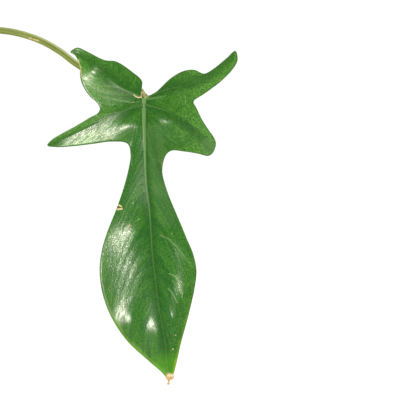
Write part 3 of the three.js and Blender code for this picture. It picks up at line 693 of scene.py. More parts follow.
# %% Shared effects
def build_scar():
    """Mask of a mark: 1 within a width of the line from start to end. It hands the place on to the next mark
    with a trace of the mask added, so that a renderer works out a long row of marks one by one."""
    tree, given, result = new_group(
        "scar", {"Place": "Vector", "Start": "Vector", "End": "Vector", "Width": "Float"},
        {"Mask": "Float", "Place": "Vector"})
    from_start = vectors(tree, "SUBTRACT", given["Place"], given["Start"])
    span = vectors(tree, "SUBTRACT", given["End"], given["Start"])
    reach = vectors(tree, "DOT_PRODUCT", from_start, span, "Value")
    whole = vectors(tree, "DOT_PRODUCT", span, span, "Value")
    share = calc(tree, "DIVIDE", reach, larger(tree, whole, 1e-6), clamp=True)
    nearest = vectors(tree, "SCALE", span, share)
    off = vectors(tree, "DISTANCE", from_start, nearest, "Value")
    mask = ramp(tree, calc(tree, "DIVIDE", off, given["Width"]), 1.0, 0.45)
    trace = {0: mask, 1: (1e-7, 0, 0), 2: given["Place"]}
    handed_on = node(tree, "VectorMath", trace, operation="MULTIPLY_ADD")
    tree.links.new(mask, result["Mask"])
    tree.links.new(handed_on.outputs[0], result["Place"])
    return tree


def build_fine_lines():
    """Two noises at a place that the skin has drawn out: a height from 0 to 1 and a softer tone."""
    tree, given, result = new_group(
        "fine lines", {"Place": "Vector", "Scale": "Float"}, {"Height": "Float", "Tone": "Float"})
    fine = noise(tree, given["Place"], given["Scale"], 3, 0.6)
    broad = noise(tree, given["Place"], times(tree, given["Scale"], 0.23), 2)
    tree.links.new(plus(tree, times(tree, fine, 0.6), times(tree, broad, 0.4)), result["Height"])
    tree.links.new(ramp(tree, broad, 0.3, 0.7), result["Tone"])
    return tree


def build_speckle():
    """Small round specks where a cell pattern and a noise both allow it."""
    tree, given, result = new_group(
        "speckle", {"Place": "Vector", "Scale": "Float", "Size": "Float"}, {"Mask": "Float"})
    cell = node(tree, "TexVoronoi", {"Vector": given["Place"], "Scale": given["Scale"]}).outputs["Distance"]
    specks = ramp(tree, calc(tree, "DIVIDE", cell, given["Size"]), 1.0, 0.6)
    allowed = ramp(tree, noise(tree, given["Place"], times(tree, given["Scale"], 0.31)), 0.5, 0.62)
    tree.links.new(times(tree, specks, allowed), result["Mask"])
    return tree


SCAR, FINE_LINES, SPECKLE = build_scar(), build_fine_lines(), build_speckle()
print("shared effects:", [group.name for group in (SCAR, FINE_LINES, SPECKLE)])


def fine_lines(tree, where, stretch, scale):
    """The fine lines at a place, drawn out along one of its coordinates."""
    return use_group(tree, FINE_LINES, {"Place": stretched(tree, where, stretch), "Scale": scale})


def speckle(tree, place, scale, size):
    """The mask of the specks at a place."""
    return use_group(tree, SPECKLE, {"Place": place, "Scale": scale, "Size": size})["Mask"]


def scar(tree, place, start, end, width):
    """The mask of a mark, and the place for the next one."""
    made = use_group(tree, SCAR, {"Place": place, "Start": start, "End": end, "Width": width})
    return made["Mask"], made["Place"]


# %% [markdown]
# The upper skin of a blade is deep green and waxy. It is paler along the midrib, yellower at the margin,
# lined and wrinkled along the side veins, and marked by the small scars and the dry tip that an older leaf
# has. Painted light is mixed in: a bluish sheen inland and lighter outer sides, and on the seen leaf painted
# highlights and hazy sheen among its marks. The marks of the seen leaf lie where the picture shows them. Each
# has a start, an end and a width in pattern millimetres, a tone, and a strength.

# %% Blade skins
CREAM, BROWN = colour(236, 214, 160), colour(104, 66, 24)
PALE_GREEN, LIT_GREEN = colour(150, 180, 122), colour(112, 156, 88)
YELLOW_GREEN, VEIN_GREEN, TIP_GREEN = colour(126, 182, 30), colour(124, 166, 98), colour(96, 174, 34)
BLADE_GREENS = ((42, 106, 14), (56, 123, 22), (92, 160, 54), (46, 117, 55), (96, 162, 64), (28, 88, 18),
                (120, 186, 76))  # dark, mid, light, bloom (painted bluish sheen), pale, deep, sunlit (painted light)
SEEN_MARKS = [
    # the worn fold at the notch, and pale streaks beside it
    ((-6.7, 2.1), (-5.5, 1.1), 0.45, CREAM, 1), ((-5.5, 1.1), (-3.7, 0.3), 0.55, CREAM, 1),
    ((-3.7, 0.3), (-1.9, 0.6), 0.55, CREAM, 1), ((-1.8, 0.6), (-1.5, 4.5), 0.45, CREAM, 0.8),
    ((-12, -2.3), (-9.2, -2.9), 0.45, PALE_GREEN, 0.6), ((-8.2, -2.9), (-6.2, -2.7), 0.4, PALE_GREEN, 0.8),
    ((-4.8, -2.6), (-3.2, -2.2), 0.35, PALE_GREEN, 0.5), ((1.6, -0.8), (11, 0.6), 0.8, LIT_GREEN, 0.6),
    ((11, 0.6), (14.5, 1.8), 0.5, LIT_GREEN, 0.4),
    # the nick in the margin at the waist: two dry lips with a brown gap
    ((-16.9, -71.3), (-14.9, -72.4), 0.7, CREAM, 1), ((-17.4, -74.3), (-14.6, -73.9), 0.8, CREAM, 1),
    ((-17.2, -73), (-15, -73), 0.4, BROWN, 0.9), ((-7.1, -69.9), (-7.1, -70.3), 0.5, PALE_GREEN, 1),
    ((-7.2, -72.8), (-7.1, -72.9), 0.35, BROWN, 0.7),
    # grazes and dots
    ((-29.5, -23.2), (-27.6, -24.6), 0.5, CREAM, 0.5), ((-24, -25.8), (-21, -27.2), 0.5, CREAM, 0.6),
    ((-4.2, -81.5), (-3, -80.6), 0.4, PALE_GREEN, 0.8), ((-10.4, -86.4), (-9.3, -84.6), 0.5, CREAM, 0.8),
    ((18.4, -90.4), (18.6, -90.6), 0.5, PALE_GREEN, 0.8),
    ((11.3, -43.6), (11.4, -43.9), 0.5, PALE_GREEN, 0.7),
    ((6.6, -41), (6.7, -41.2), 0.45, PALE_GREEN, 0.6), ((20.9, -157.9), (21, -157.8), 0.55, CREAM, 0.8),
    ((19.3, -167.2), (19.4, -167.3), 0.6, CREAM, 1), ((27.6, 1), (27.4, -3.6), 0.35, PALE_GREEN, 0.5),
    ((27.6, -12.8), (27.8, -12.9), 0.45, PALE_GREEN, 0.8),
    ((26.2, -14.8), (26.3, -14.9), 0.4, PALE_GREEN, 0.6),
    ((-22.8, -128), (-22.6, -128.3), 0.5, PALE_GREEN, 0.5), ((-7.9, -37), (-7.9, -45), 0.5, LIT_GREEN, 0.6),
    # the yellow margin beside the dry tip
    ((22.2, -175), (20.2, -185), 2.2, colour(186, 206, 40), 0.8),
    # the margin of the left lobe, turned up in front of the stalk
    ((-44.2, 25.9), (-42.5, 20.6), 0.5, CREAM, 0.7), ((-42.5, 20.6), (-41.9, 14.5), 0.5, CREAM, 0.6),
    # painted hazy sheen on the right of the waist, and a painted pale reflection on the right side lobe's tip
    ((6.2, -23), (9, -38), 8, LIT_GREEN, 0.22), ((42, -31), (44, -36), 6, LIT_GREEN, 0.4),
    ((10, -46), (11.5, -60), 9, LIT_GREEN, 0.24), ((11.5, -62), (15, -80), 8, LIT_GREEN, 0.16),
    # painted highlights on the side veins, slightly raised, where they catch the light
    ((10.7, -91.5), (16, -93.6), 0.8, LIT_GREEN, 0.5), ((16, -93.6), (20.7, -97.8), 0.9, LIT_GREEN, 0.6),
    ((20.7, -97.8), (27, -105.6), 0.8, LIT_GREEN, 0.5), ((27, -105.6), (32.5, -113), 0.7, LIT_GREEN, 0.35),
    ((16.7, -117), (19.1, -117.7), 0.5, PALE_GREEN, 0.5),
    ((19.1, -117.7), (21.6, -119.5), 0.6, PALE_GREEN, 0.7),
    ((21.6, -119.5), (23.3, -122), 0.7, PALE_GREEN, 0.8),
    ((23.3, -122), (24.7, -125.3), 0.7, PALE_GREEN, 0.8),
    ((24.7, -125.3), (25.8, -130.4), 0.6, PALE_GREEN, 0.7),
    ((25.8, -130.4), (25.3, -132.7), 0.5, PALE_GREEN, 0.6),
    ((19, -121.5), (21.5, -124.6), 0.5, LIT_GREEN, 0.5),
    ((21.5, -124.6), (23.4, -129.5), 0.4, LIT_GREEN, 0.4),
    ((16, -126.7), (18.5, -129.2), 0.5, PALE_GREEN, 0.5), ((18.5, -129.2), (21, -134), 0.6, PALE_GREEN, 0.6),
    ((21, -134), (22.2, -136.5), 0.5, PALE_GREEN, 0.5),
]
COMMON_MARKS = SEEN_MARKS[16:23:2]  # four of the grazes and dots
DRY_TIP = ((17.0, -185.6), (16.4, -191.5))
WOBBLE = 0.05  # how far the outline of a mark wavers, in centimetres


def blade_mark(tree, place, start, end, width):
    """A mark between two points in pattern millimetres, such as a scar or a painted highlight. The place is
    in centimetres and wavers.
    """
    start, end = ((u / 10 + WOBBLE / 2, v / 10 + WOBBLE / 2, WOBBLE / 2) for u, v in (start, end))
    return scar(tree, place, start, end, width / 10)


def blade_skin(name, tint, marks, dry_tip, age):
    """The upper face. tint multiplies the green, age yellows the margin, dry_tip is the tip's radius."""
    skin, tree, shader = new_skin(name, Specular_IOR_Level=0.4)
    ribs, plan = stored(tree, "ribs"), stored(tree, "plan")
    vein_ratio, from_margin = split(tree, stored(tree, "edges"))[0:2]
    vein_tone = split(tree, stored(tree, "tone"))[0]
    across, along_lobe = split(tree, plan)[0:2]
    dark, mid, light, bloom, pale, deep, sunlit = (
        colour(*np.clip(np.array(tone) * tint, 0, 255)) for tone in BLADE_GREENS)

    # colour: blotches, side-vein lines, a painted bluish sheen inland, painted sunlit sides, a net of finest
    # veins
    lines = fine_lines(tree, ribs, (1.0, 0.16, 1.0), 9.0)
    green = mix(tree, ramp(tree, noise(tree, plan, 1.1, 4, 0.6), 0.32, 0.68), dark, mid)
    green = mix(tree, times(tree, lines["Tone"], 0.3), green, light)
    # painted bluish sheen, strongest inland and down the end lobe
    inland = times(tree, ramp(tree, from_margin, 2.0, 9.0), ramp(tree, along_lobe, 0.0, -4.0))
    inland = times(tree, inland, ramp(tree, noise(tree, plan, 1.7, 3), 0.3, 0.6, 0.45, 1.0))
    green = mix(tree, times(tree, inland, 0.75), green, bloom)
    # painted light: the outer sides lighter, less so down the end lobe
    uneven = ramp(tree, noise(tree, plan, 1.5), 0.3, 0.7, 0.7, 1.3)
    outer = times(tree, calc(tree, "ABSOLUTE", across), uneven)
    outer = times(tree, outer, ramp(tree, along_lobe, -5.0, -8.0, 1.0, 0.72))
    green = mix(tree, ramp(tree, outer, 0.9, 4.6, 0, 1.0), green, sunlit)
    green = mix(tree, ramp(tree, lines["Height"], 0.42, 0.6, 0, 0.75), green, light)
    green = mix(tree, ramp(tree, noise(tree, plan, 8.0, 5, 0.9), 0.42, 0.58, 0, 0.85), green, deep)
    green = mix(tree, ramp(tree, split(tree, ribs)[1], 0.9, 0.15, 0, 0.6), green, deep)
    net = cell_edges(tree, stretched(tree, ribs, (1.0, 0.4, 1.0)), 6.0)
    green = mix(tree, ramp(tree, net, 0.09, 0.0, 0, 0.12), green, pale)

    # margin, midrib, marks and the dry tip
    ragged = plus(tree, from_margin, times(tree, noise(tree, plan, 1.3), 3.0))
    low_down = ramp(tree, along_lobe, -12.0, -15.5, 0.4 * age, 1.0)
    margin = times(tree, ramp(tree, ragged, 3.8, 1.0), low_down)
    green = mix(tree, times(tree, margin, 0.85), green, YELLOW_GREEN)
    rim_tone = calc(tree, "SUBTRACT", 0.65, times(tree, low_down, 0.4))
    green = mix(tree, ramp(tree, from_margin, 0.9, 0.3, 0, rim_tone), green, deep)
    vein = times(tree, ramp(tree, vein_ratio, 1.2, 0.7), vein_tone)
    green = mix(tree, times(tree, vein, 0.85), green, VEIN_GREEN)
    swirl = node(tree, "TexNoise", {"Vector": plan, "Scale": 9.0}).outputs[1]
    place = vectors(tree, "ADD", plan, vectors(tree, "SCALE", swirl, WOBBLE))
    raised = 0.0
    for start, end, width, tone, strength in marks:
        mask, place = blade_mark(tree, place, start, end, width)
        mask = times(tree, mask, strength)
        green = mix(tree, mask, green, tone)
        raised = larger(tree, raised, mask)
    yellowed, place = blade_mark(tree, place, *DRY_TIP, 6.0 * dry_tip)
    green = mix(tree, times(tree, yellowed, 0.55), green, TIP_GREEN)
    dried, place = blade_mark(tree, place, *DRY_TIP, dry_tip)
    crust = mix(tree, noise(tree, plan, 14.0, 3), colour(206, 150, 84), colour(250, 226, 168))
    green = mix(tree, dried, green, crust)

    # gloss: streaks along the side veins, and dull where the skin is marked, dry or yellow
    dull = larger(tree, larger(tree, dried, raised), times(tree, vein, 0.5))
    dull = larger(tree, dull, times(tree, margin, 0.6))
    streaks = ramp(tree, noise(tree, ribs, 10.0, 4, 0.8, stretch=(1.0, 0.4, 1.0)), 0.4, 0.6, 0.12, 0.32)
    rough = plus(tree, streaks, ramp(tree, along_lobe, -9.0, -6.0, 0, 0.06))
    rough = node(tree, "Mix", {0: dull, 2: rough, 3: 0.7}, data_type="FLOAT").outputs[0]

    # relief: fine lines, wrinkles drawn out along the side veins, the net, the marks, crackle on the end lobe
    wrinkle = noise(tree, ribs, 5.0, 4, 0.6, stretch=(1.0, 0.16, 1.0))
    height = plus(tree, times(tree, lines["Height"], 0.7), times(tree, wrinkle, 0.6))
    height = plus(tree, height, ramp(tree, net, 0.22, 0.0, 0, -0.35))
    height = plus(tree, height, times(tree, raised, 0.4))
    begins, ends = ramp(tree, along_lobe, -4.0, -7.0, 0.2, 2.8), ramp(tree, along_lobe, -12.5, -14.0, 0, 2.2)
    crackle = times(tree, noise(tree, plan, 10.0, 2, 0.6), calc(tree, "SUBTRACT", begins, ends))
    strength = ramp(tree, along_lobe, -6.0, -9.0, 0.5, 1.0)
    dress(tree, shader, green, plus(tree, height, crackle), strength, 0.025, rough)
    return skin


def blade_under_skin(name):
    """The lower face: paler, matt, greyer, with its veins light green."""
    skin, tree, shader = new_skin(name, Specular_IOR_Level=0.35, Roughness=0.55)
    ribs = stored(tree, "ribs")
    lines = fine_lines(tree, ribs, (1.0, 0.16, 1.0), 11.0)
    net = cell_edges(tree, ribs, 9.0)
    green = mix(tree, lines["Tone"], colour(96, 134, 76), colour(116, 152, 92))
    green = mix(tree, ramp(tree, net, 0.08, 0.0, 0, 0.35), green, colour(140, 170, 108))
    vein_ratio = split(tree, stored(tree, "edges"))[0]
    green = mix(tree, ramp(tree, vein_ratio, 2.2, 1.0), green, colour(156, 182, 104))
    height = plus(tree, lines["Height"], ramp(tree, net, 0.1, 0.0, 0, 0.6))
    dress(tree, shader, green, height, 0.5, 0.2)
    return skin


# %% Make the blades
UNDER = blade_under_skin("blade underside")
# Broad swellings of the seen leaf, placed so that its lights lie where they lie in the photo. Each row
# holds u, v, half width, half length, turn in radians and height, in pattern millimetres.
SEEN_SWELLS = [
    # The left basal lobe, the left side lobe and its tip, and the face right of the midrib.
    (-32, 21, 9, 9, 0.0, 2.6), (-4, -17, 16, 9, 0.35, 3.0), (-75, -36, 14, 12, 0.0, 4.0),
    (21, -17, 11, 9, -0.5, 4.4),
    # The waist, the end lobe's upper left and its hazy middle.
    (16, -58, 9, 22, 0.0, 2.0), (-6, -88, 10, 13, 0.0, 1.7), (-2, -118, 12, 14, 0.0, 0.8),
    # The two lower lights, the small one on the right, and the two arcs above it.
    (-8, -149, 8, 12, 0.0, 2.0), (10, -155, 9, 15, 0.0, 2.5), (23, -145, 6, 11, 0.0, 2.7),
    (30, -102, 9, 14, 0.0, 2.6), (29, -127, 7, 12, 0.0, 2.2),
]
AGES = [0.75, 0.55, 0.5, 0.3, 0.35, 0.25, 0.1]
TINTS = [(1.12, 1.0, 0.9), (1.0, 0.97, 1.0), (1.02, 1.0, 0.95), (1.0, 1.0, 1.0), (0.98, 1.0, 1.05),
         (1.05, 1.05, 1.0), (1.35, 1.25, 1.15)]
SEEN_DRY_TIP = 3.4
for leaf in LEAVES:
    name = f"leaf_{leaf['node'] + 1}"
    seen = leaf["node"] == SEEN_LEAF
    age = AGES[leaf["node"]]
    marks, dry_tip = (SEEN_MARKS, SEEN_DRY_TIP) if seen else (COMMON_MARKS, 1.5 + 3 * age)
    skins = [blade_skin(f"{name} blade", TINTS[leaf["node"]], marks, dry_tip, age), UNDER]
    if seen:
        seen_sheet = blade_piece(name, leaf, skins, steps=10, rows=FINE_ROWS, rounds=300, swells=SEEN_SWELLS)
    else:
        blade_piece(name, leaf, skins, steps=5, rows=COARSE_ROWS, rounds=25)

# %% [markdown]
# ## Stem, stalks and roots
# The stem is a tube with a ring at each node. A stalk is a tube that is widest where it clasps the stem and
# has a slight knee just under the blade.

# %% Stem
STEM_PATH = [(2, 3, 40), (1, 1, 75), (-1, 0, 105), (-4, 2, 140), (-3, 5, 175), (2, 4, 210), (4, 1, 240),
             (2, -1, 268)]
STEM_RADIUS, STEM_TOP_RADIUS = 5.2, 3.6
NODE_HEIGHTS = [118, 138, 159, 181, 204, 227, 248]
RING, RING_REACH = 1.1, 2.6
NECK, NECK_REACH, NECK_BELOW = 0.35, 1.2, 4  # the groove under each ring

fine_share = np.linspace(0, 1, 2001)
fine_stem = along(STEM_PATH, fine_share)
stem_length = np.linalg.norm(np.diff(fine_stem, axis=0), axis=1).sum()
node_shares = np.interp(NODE_HEIGHTS, fine_stem[:, 2], fine_share)
stem_nodes = along(STEM_PATH, node_shares) * MM


def stem_skin():
    """Green at the top, browner and corkier lower down, with pale rings and fine wrinkles lengthwise."""
    skin, tree, shader = new_skin("stem", Specular_IOR_Level=0.4)
    place = object_place(tree)
    height = split(tree, place)[2]
    lines = fine_lines(tree, stored(tree, "round"), (0.6, 9.0, 1.0), 5.0)
    specks = speckle(tree, place, 420.0, 0.34)
    age = ramp(tree, plus(tree, height, times(tree, noise(tree, place, 60), 0.06)), 0.26, 0.12)
    tone = mix(tree, age, colour(112, 142, 66), colour(122, 108, 72))
    tone = mix(tree, times(tree, lines["Tone"], 0.35), tone, colour(84, 96, 52))
    tone = mix(tree, times(tree, specks, 0.7), tone, colour(176, 160, 118))
    ring = 0.0
    for high in NODE_HEIGHTS:
        near = calc(tree, "ABSOLUTE", calc(tree, "SUBTRACT", height, (high - 0.6) * MM))
        ring = larger(tree, ring, ramp(tree, near, 1.3 * MM, 0.3 * MM))
    tone = mix(tree, times(tree, ring, 0.6), tone, colour(160, 140, 98))
    dress(tree, shader, tone, lines["Height"], 0.7, 0.3, rough=ramp(tree, age, 0, 1, 0.42, 0.8))
    return skin


def stem_piece():
    """A tube round the stem's path: its radius shrinks upwards and swells by a bell curve at each node."""
    share, sides = np.linspace(0, 1, 260), 32
    path = along(STEM_PATH, share) * MM
    radius = STEM_RADIUS + (STEM_TOP_RADIUS - STEM_RADIUS) * share**2
    off = (share[:, None] - node_shares) * stem_length
    rings = RING * np.exp(-((off / RING_REACH) ** 2))
    radius += (rings - NECK * np.exp(-(((off + NECK_BELOW) / NECK_REACH) ** 2))).sum(1)
    radius *= rounded_end(share, 0.985, 0.0165)
    angle = np.linspace(0, 2 * np.pi, sides, endpoint=False)
    ridged = radius[:, None] * (1 + 0.02 * np.cos(5 * angle + 3 * share[:, None]))
    points, triangles = tube(path, ridged * MM, sides)
    piece = new_piece("stem_skin", points, triangles, {"round": tube_map(path, sides)}, [stem_skin()])
    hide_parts("stem")


stem_piece()

# %% Stalks
SEEN_PETIOLE = [(-5.1, 2.4, -7.9), (-11.1, 6.2, -13.2), (-21.3, 11.1, -20.3), (-32.1, 16, -26.7),
                (-46.1, 24.2, -34), (-59.3, 34.2, -40.4), (-73.8, 42.2, -46.1), (-94.6, 48.3, -52.4),
                (-115.6, 48.7, -58.3), (-134.4, 39.8, -64.2), (-148.9, 23.8, -69.5), (-159.3, 4.3, -74.4)]
PETIOLE_TIP_RADIUS, PETIOLE_BASE_RADIUS = 2.0, 2.7
FOOT_GAIN, FOOT_REACH = 1.6, 9
KNEE_GAIN, KNEE_REACH = 0.35, 5
STALK_SIDES = 24
SEAT_DEPTH = 0.9  # the stalk's end below the blade's middle surface


def petiole_path(leaf, share):
    """The seen stalk runs through its keys. The others are Bezier curves: up from the stem, over and down."""
    start = stem_nodes[leaf["node"]]
    away = heading(leaf["leave"], leaf["climb"])
    end = leaf["turn"] @ (np.array([0, -2, -SEAT_DEPTH]) * MM) + leaf["joint"]
    if leaf["node"] == SEEN_LEAF:
        behind = np.array(SEEN_PETIOLE[::-1]) * MM @ leaf["turn"].T + leaf["joint"]
        return along(np.vstack([start, start + away * 14 * MM, behind, end]), share)
    pull_up = start + away * leaf["rise"] * MM
    pull_back = end - (heading(leaf["face"], 8) - np.array([0, 0, 0.25])) * leaf["reach"] * MM
    x = np.linspace(0, 1, 401)[:, None]
    curve = ((1 - x) ** 3 * start + 3 * (1 - x) ** 2 * x * pull_up + 3 * (1 - x) * x**2 * pull_back
             + x**3 * end)
    gone = distances(curve)
    return np.stack([np.interp(share * gone[-1], gone, curve[:, k]) for k in range(3)], 1)


# Two dry marks of the seen stalk: start, end and width in millimetres.
STALK_SCARS = (((100.4, -14.4, 274.5), (101.3, -14.9, 274.6), 0.9),
               ((102.9, -15.5, 274.2), (106.6, -17.2, 273.6), 0.6))


def petiole_skin():
    """Olive green in patches, finely lined along its length, with pale specks and two dry marks."""
    skin, tree, shader = new_skin("petiole", Specular_IOR_Level=0.4)
    place = object_place(tree)
    lines = fine_lines(tree, stored(tree, "round"), (0.08, 8.0, 1.0), 3.0)
    specks = speckle(tree, place, 520.0, 0.3)
    patch = ramp(tree, noise(tree, place, 45, 3), 0.35, 0.68)
    tone = mix(tree, patch, colour(142, 158, 70), colour(158, 172, 92))
    tone = mix(tree, ramp(tree, lines["Height"], 0.46, 0.54, 0, 0.8), tone, colour(116, 130, 58))
    tone = mix(tree, times(tree, specks, 0.6), tone, colour(190, 178, 118))
    in_mm = vectors(tree, "SCALE", place, 1 / MM)
    for start, end, width in STALK_SCARS:
        mark = scar(tree, in_mm, start, end, width)[0]
        tone = mix(tree, times(tree, mark, 0.85), tone, colour(240, 208, 150))
    dress(tree, shader, tone, lines["Height"], 0.6, 0.18, rough=ramp(tree, patch, 0, 1, 0.36, 0.5))
    return skin


def petiole_piece(leaf, skin):
    """The stalk's tube, wider at the foot and the knee, with six blunt ridges, cut off along the blade."""
    name = f"leaf_{leaf['node'] + 1}"
    scale = leaf["shape"].get("scale", 1.0)
    share = np.linspace(0, 1, 150)
    path = petiole_path(leaf, share)
    length = np.linalg.norm(np.diff(path, axis=0), axis=1).sum() / MM
    radius = (PETIOLE_BASE_RADIUS + (PETIOLE_TIP_RADIUS - PETIOLE_BASE_RADIUS) * share) * math.sqrt(scale)
    radius += FOOT_GAIN * np.exp(-((share * length / FOOT_REACH) ** 2))
    radius += KNEE_GAIN * np.exp(-((((1 - share) * length - KNEE_REACH) / KNEE_REACH) ** 2))
    angle = np.linspace(0, 2 * np.pi, STALK_SIDES, endpoint=False)
    ridged = radius[:, None] * (1 + 0.018 * np.cos(6 * angle + 0.8 * np.sin(7 * share[:, None])))
    points, triangles = tube(path, ridged * MM, STALK_SIDES)
    last = slice((len(share) - 1) * STALK_SIDES, len(share) * STALK_SIDES)
    forward = tube_frames(path)[0][-1]
    above = (points[last] - path[-1]) @ leaf["normal"]
    points[last] -= above[:, None] * forward / (forward @ leaf["normal"])
    maps = {"round": tube_map(path, STALK_SIDES)}
    piece = new_piece(f"{name}_petiole_skin", points, triangles, maps, [skin])
    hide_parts(f"{name}_petiole")


PETIOLE_SKIN = petiole_skin()
for leaf in LEAVES:
    petiole_piece(leaf, PETIOLE_SKIN)

# %% Aerial roots
AERIAL_ROOTS = [
    dict(node=1, azimuth=300, points=[(5, -3), (11, -9), (14, -20), (15.5, -36)], radius=1.5),
    dict(node=2, azimuth=20, points=[(5, -2), (11, -6), (16, -15), (17, -27)], radius=1.4),
    dict(node=3, azimuth=150, points=[(5, -2), (10, -7), (12, -16)], radius=1.3),
    dict(node=4, azimuth=255, points=[(5, -1.5), (10, -5), (13.5, -12), (14, -19)], radius=1.2),
]


def root_skin():
    """Corky brown with cracks and pale specks."""
    skin, tree, shader = new_skin("aerial root", Roughness=0.8, Specular_IOR_Level=0.3)
    bark = noise(tree, stored(tree, "round"), 6.0, 4, 0.7, stretch=(2.0, 3.0, 1.0))
    tone = mix(tree, ramp(tree, bark, 0.35, 0.65), colour(92, 66, 42), colour(150, 118, 80))
    tone = mix(tree, speckle(tree, object_place(tree), 600.0, 0.35), tone, colour(186, 160, 120))
    dress(tree, shader, tone, bark, 0.8, 0.25)
    return skin


ROOT_SKIN = root_skin()
for i, root in enumerate(AERIAL_ROOTS):
    start = stem_nodes[root["node"]]
    out = heading(root["azimuth"], 0)
    keys = np.vstack([start, *(start + out * r * MM + np.array([0, 0, z * MM]) for r, z in root["points"])])
    share, sides = np.linspace(0, 1, 60), 16
    path = along(keys, share)
    radius = (root["radius"] * (1 - 0.25 * share) * rounded_end(share, 0.93, 0.0705))[:, None]
    radius = radius * (1 + 0.06 * np.sin(40 * share[:, None] + np.arange(sides)[None]))
    points, triangles = tube(path, np.maximum(radius, 0.02) * MM, sides)
    piece = new_piece(f"aerial_root_{i + 1}_skin", points, triangles,
                      {"round": tube_map(path, sides)}, [ROOT_SKIN])
    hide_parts(f"aerial_root_{i + 1}")

# %% [markdown]
# ## Dry scraps
# An old leaf keeps bits of dead skin: here a torn flap in the notch above the stalk, and a crumpled tip with
# a crumb that hangs from it. Each is a thin lens-shaped scrap: rings run from its middle to a rim of given
# points, in millimetres in the blade's own frame, and the two faces meet at the rim.

# %% Dry scraps
NOTCH_FLAP = [(-1.9, 0.2, -1.3), (-2.0, 2.0, -1.3), (-1.6, 4.2, -1.0), (-1.3, 6.7, -0.4), (-0.1, 5.3, -0.6),
              (0.8, 3.6, -0.9), (1.9, 2.7, -1.0), (2.7, 1.6, -1.2), (2.2, 0.2, -1.5)]
TIP_SCRAP = [(15.0, -185.3), (16.0, -184.1), (17.0, -183.6), (18.2, -184.4), (19.3, -183.6), (20.4, -183.1),
             (20.2, -185.3), (19.7, -187.0), (18.3, -187.8), (16.7, -188.2), (15.8, -187.0)]
TIP_CRUMB = [(15.4, -189.8), (16.3, -189.0), (17.0, -189.3), (17.3, -190.6), (16.4, -191.0), (15.6, -190.8)]


def on_sheet(places, lift):
    """Lifts places of the seen blade's plane above its face, by the mean height of the six nearest points."""
    gaps = np.linalg.norm(np.asarray(places)[:, None] - seen_sheet[None, :, :2], axis=2)
    height = seen_sheet[np.argsort(gaps, axis=1)[:, :6], 2].mean(1)
    return np.column_stack([places, height + lift])


def scrap_piece(name, rim, thick, crumple, skin):
    """Point (s, k) is the middle plus s times rim point k, waved by a sine, and half the lens's thickness
    thick times the root of 1 - s^2 to either side."""
    rim, rings = np.asarray(rim, float), 9
    for _ in range(2):
        ahead = np.roll(rim, -1, axis=0)
        rim = np.stack([0.8 * rim + 0.2 * ahead, 0.2 * rim + 0.8 * ahead], 1).reshape(-1, 3)
    middle, s = rim.mean(0), np.linspace(0, 1, rings)[:, None, None]
    ring = middle + s * (rim - middle)
    wave = crumple * (1 - s[..., 0] ** 2) * np.sin(3.1 * ring[..., 0] + 1.7 * ring[..., 1])
    half = 0.5 * thick * np.sqrt(1 - s[..., 0] ** 2)
    faces = [np.dstack([ring[..., 0], ring[..., 1], ring[..., 2] + wave + side * half]) for side in (1, -1)]
    grid = [grid_triangles(rings, len(rim), closed=True, flip=flip) for flip in (False, True)]
    points = np.concatenate([face.reshape(-1, 3) for face in faces])
    both = np.concatenate([grid[0], grid[1] + rings * len(rim)])
    points, triangles, _, _ = merged(points, both, grain=1e-4)
    leaf = LEAVES[SEEN_LEAF]
    piece = new_piece(name, points * MM @ leaf["turn"].T + leaf["joint"], triangles, None, [skin])
    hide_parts("leaf_4_blade")
    return points, triangles


NOWHERE = (9.0, 9.1)  # heights in metres that the plant never reaches


def scrap_skin(name, dark, light, patch, bleached=NOWHERE):
    """Dead skin: fibres in two tones, patches of a third, and cream above the heights bleached."""
    skin, tree, shader = new_skin(name, Roughness=0.75, Specular_IOR_Level=0.3)
    place = object_place(tree)
    fibres = noise(tree, place, 900, 3, 0.6, stretch=(1.0, 1.0, 0.35))
    tone = mix(tree, ramp(tree, fibres, 0.35, 0.65), colour(*dark), colour(*light))
    tone = mix(tree, ramp(tree, noise(tree, place, 420, 2), 0.5, 0.6), tone, colour(*patch))
    tone = mix(tree, ramp(tree, split(tree, place)[2], *bleached), tone, colour(250, 236, 196))
    dress(tree, shader, tone, fibres, 0.7, 0.2)
    return skin


FLAP_SKIN = scrap_skin("dry flap", (170, 156, 112), (214, 206, 174), (140, 156, 84))
TIP_SKIN = scrap_skin("dry tip", (220, 190, 140), (246, 230, 186), (228, 178, 110), (0.0662, 0.0672))
for name, rim, thick, crumple, skin in (
        ("notch_flap", NOTCH_FLAP, 0.5, 0.15, FLAP_SKIN),
        ("tip_scrap", on_sheet(TIP_SCRAP, 0.35), 0.5, 0.2, TIP_SKIN),
        ("tip_crumb", on_sheet(TIP_CRUMB, 0.2), 0.9, 0.1, TIP_SKIN)):
    points, triangles = scrap_piece(name, rim, thick, crumple, skin)
    volume = np.einsum("ij,ij->i", points[triangles[:, 0]],
                       np.cross(points[triangles[:, 1]], points[triangles[:, 2]])).sum() / 6
    print(name, "open edges", len(open_edges(triangles)), f"volume {volume:.2f} mm3")

# %% [markdown]
# ## The new leaf
# A new blade comes up rolled like a scroll, so its section is a spiral whose outer edge shows as a step that
# winds up the roll. The dry sheath that wrapped it stands beside it, thin as paper.

# %% New leaf and sheath
SPEAR_LENGTH, SPEAR_RADIUS, SHEATH_LENGTH = 92.0, 3.4, 46.0
stem_top = along(STEM_PATH, 1.0)


def spear_skin():
    """Light green wax with lines that follow the roll."""
    skin, tree, shader = new_skin("new leaf", Specular_IOR_Level=0.5, Coat_Weight=0.2, Coat_Roughness=0.2)
    slanted = node(tree, "Mapping", {0: stored(tree, "round"), 2: (0, 0, 0.35), 3: (0.5, 9.0, 1.0)})
    lines = use_group(tree, FINE_LINES, {"Place": slanted.outputs[0], "Scale": 4.0})
    tone = mix(tree, lines["Tone"], colour(132, 170, 66), colour(164, 194, 92))
    height = split(tree, object_place(tree))[2]
    tone = mix(tree, ramp(tree, height, 0.35, 0.363), tone, colour(176, 150, 92))
    dress(tree, shader, tone, lines["Height"], 0.5, 0.2, rough=ramp(tree, lines["Tone"], 0, 1, 0.3, 0.4))
    return skin


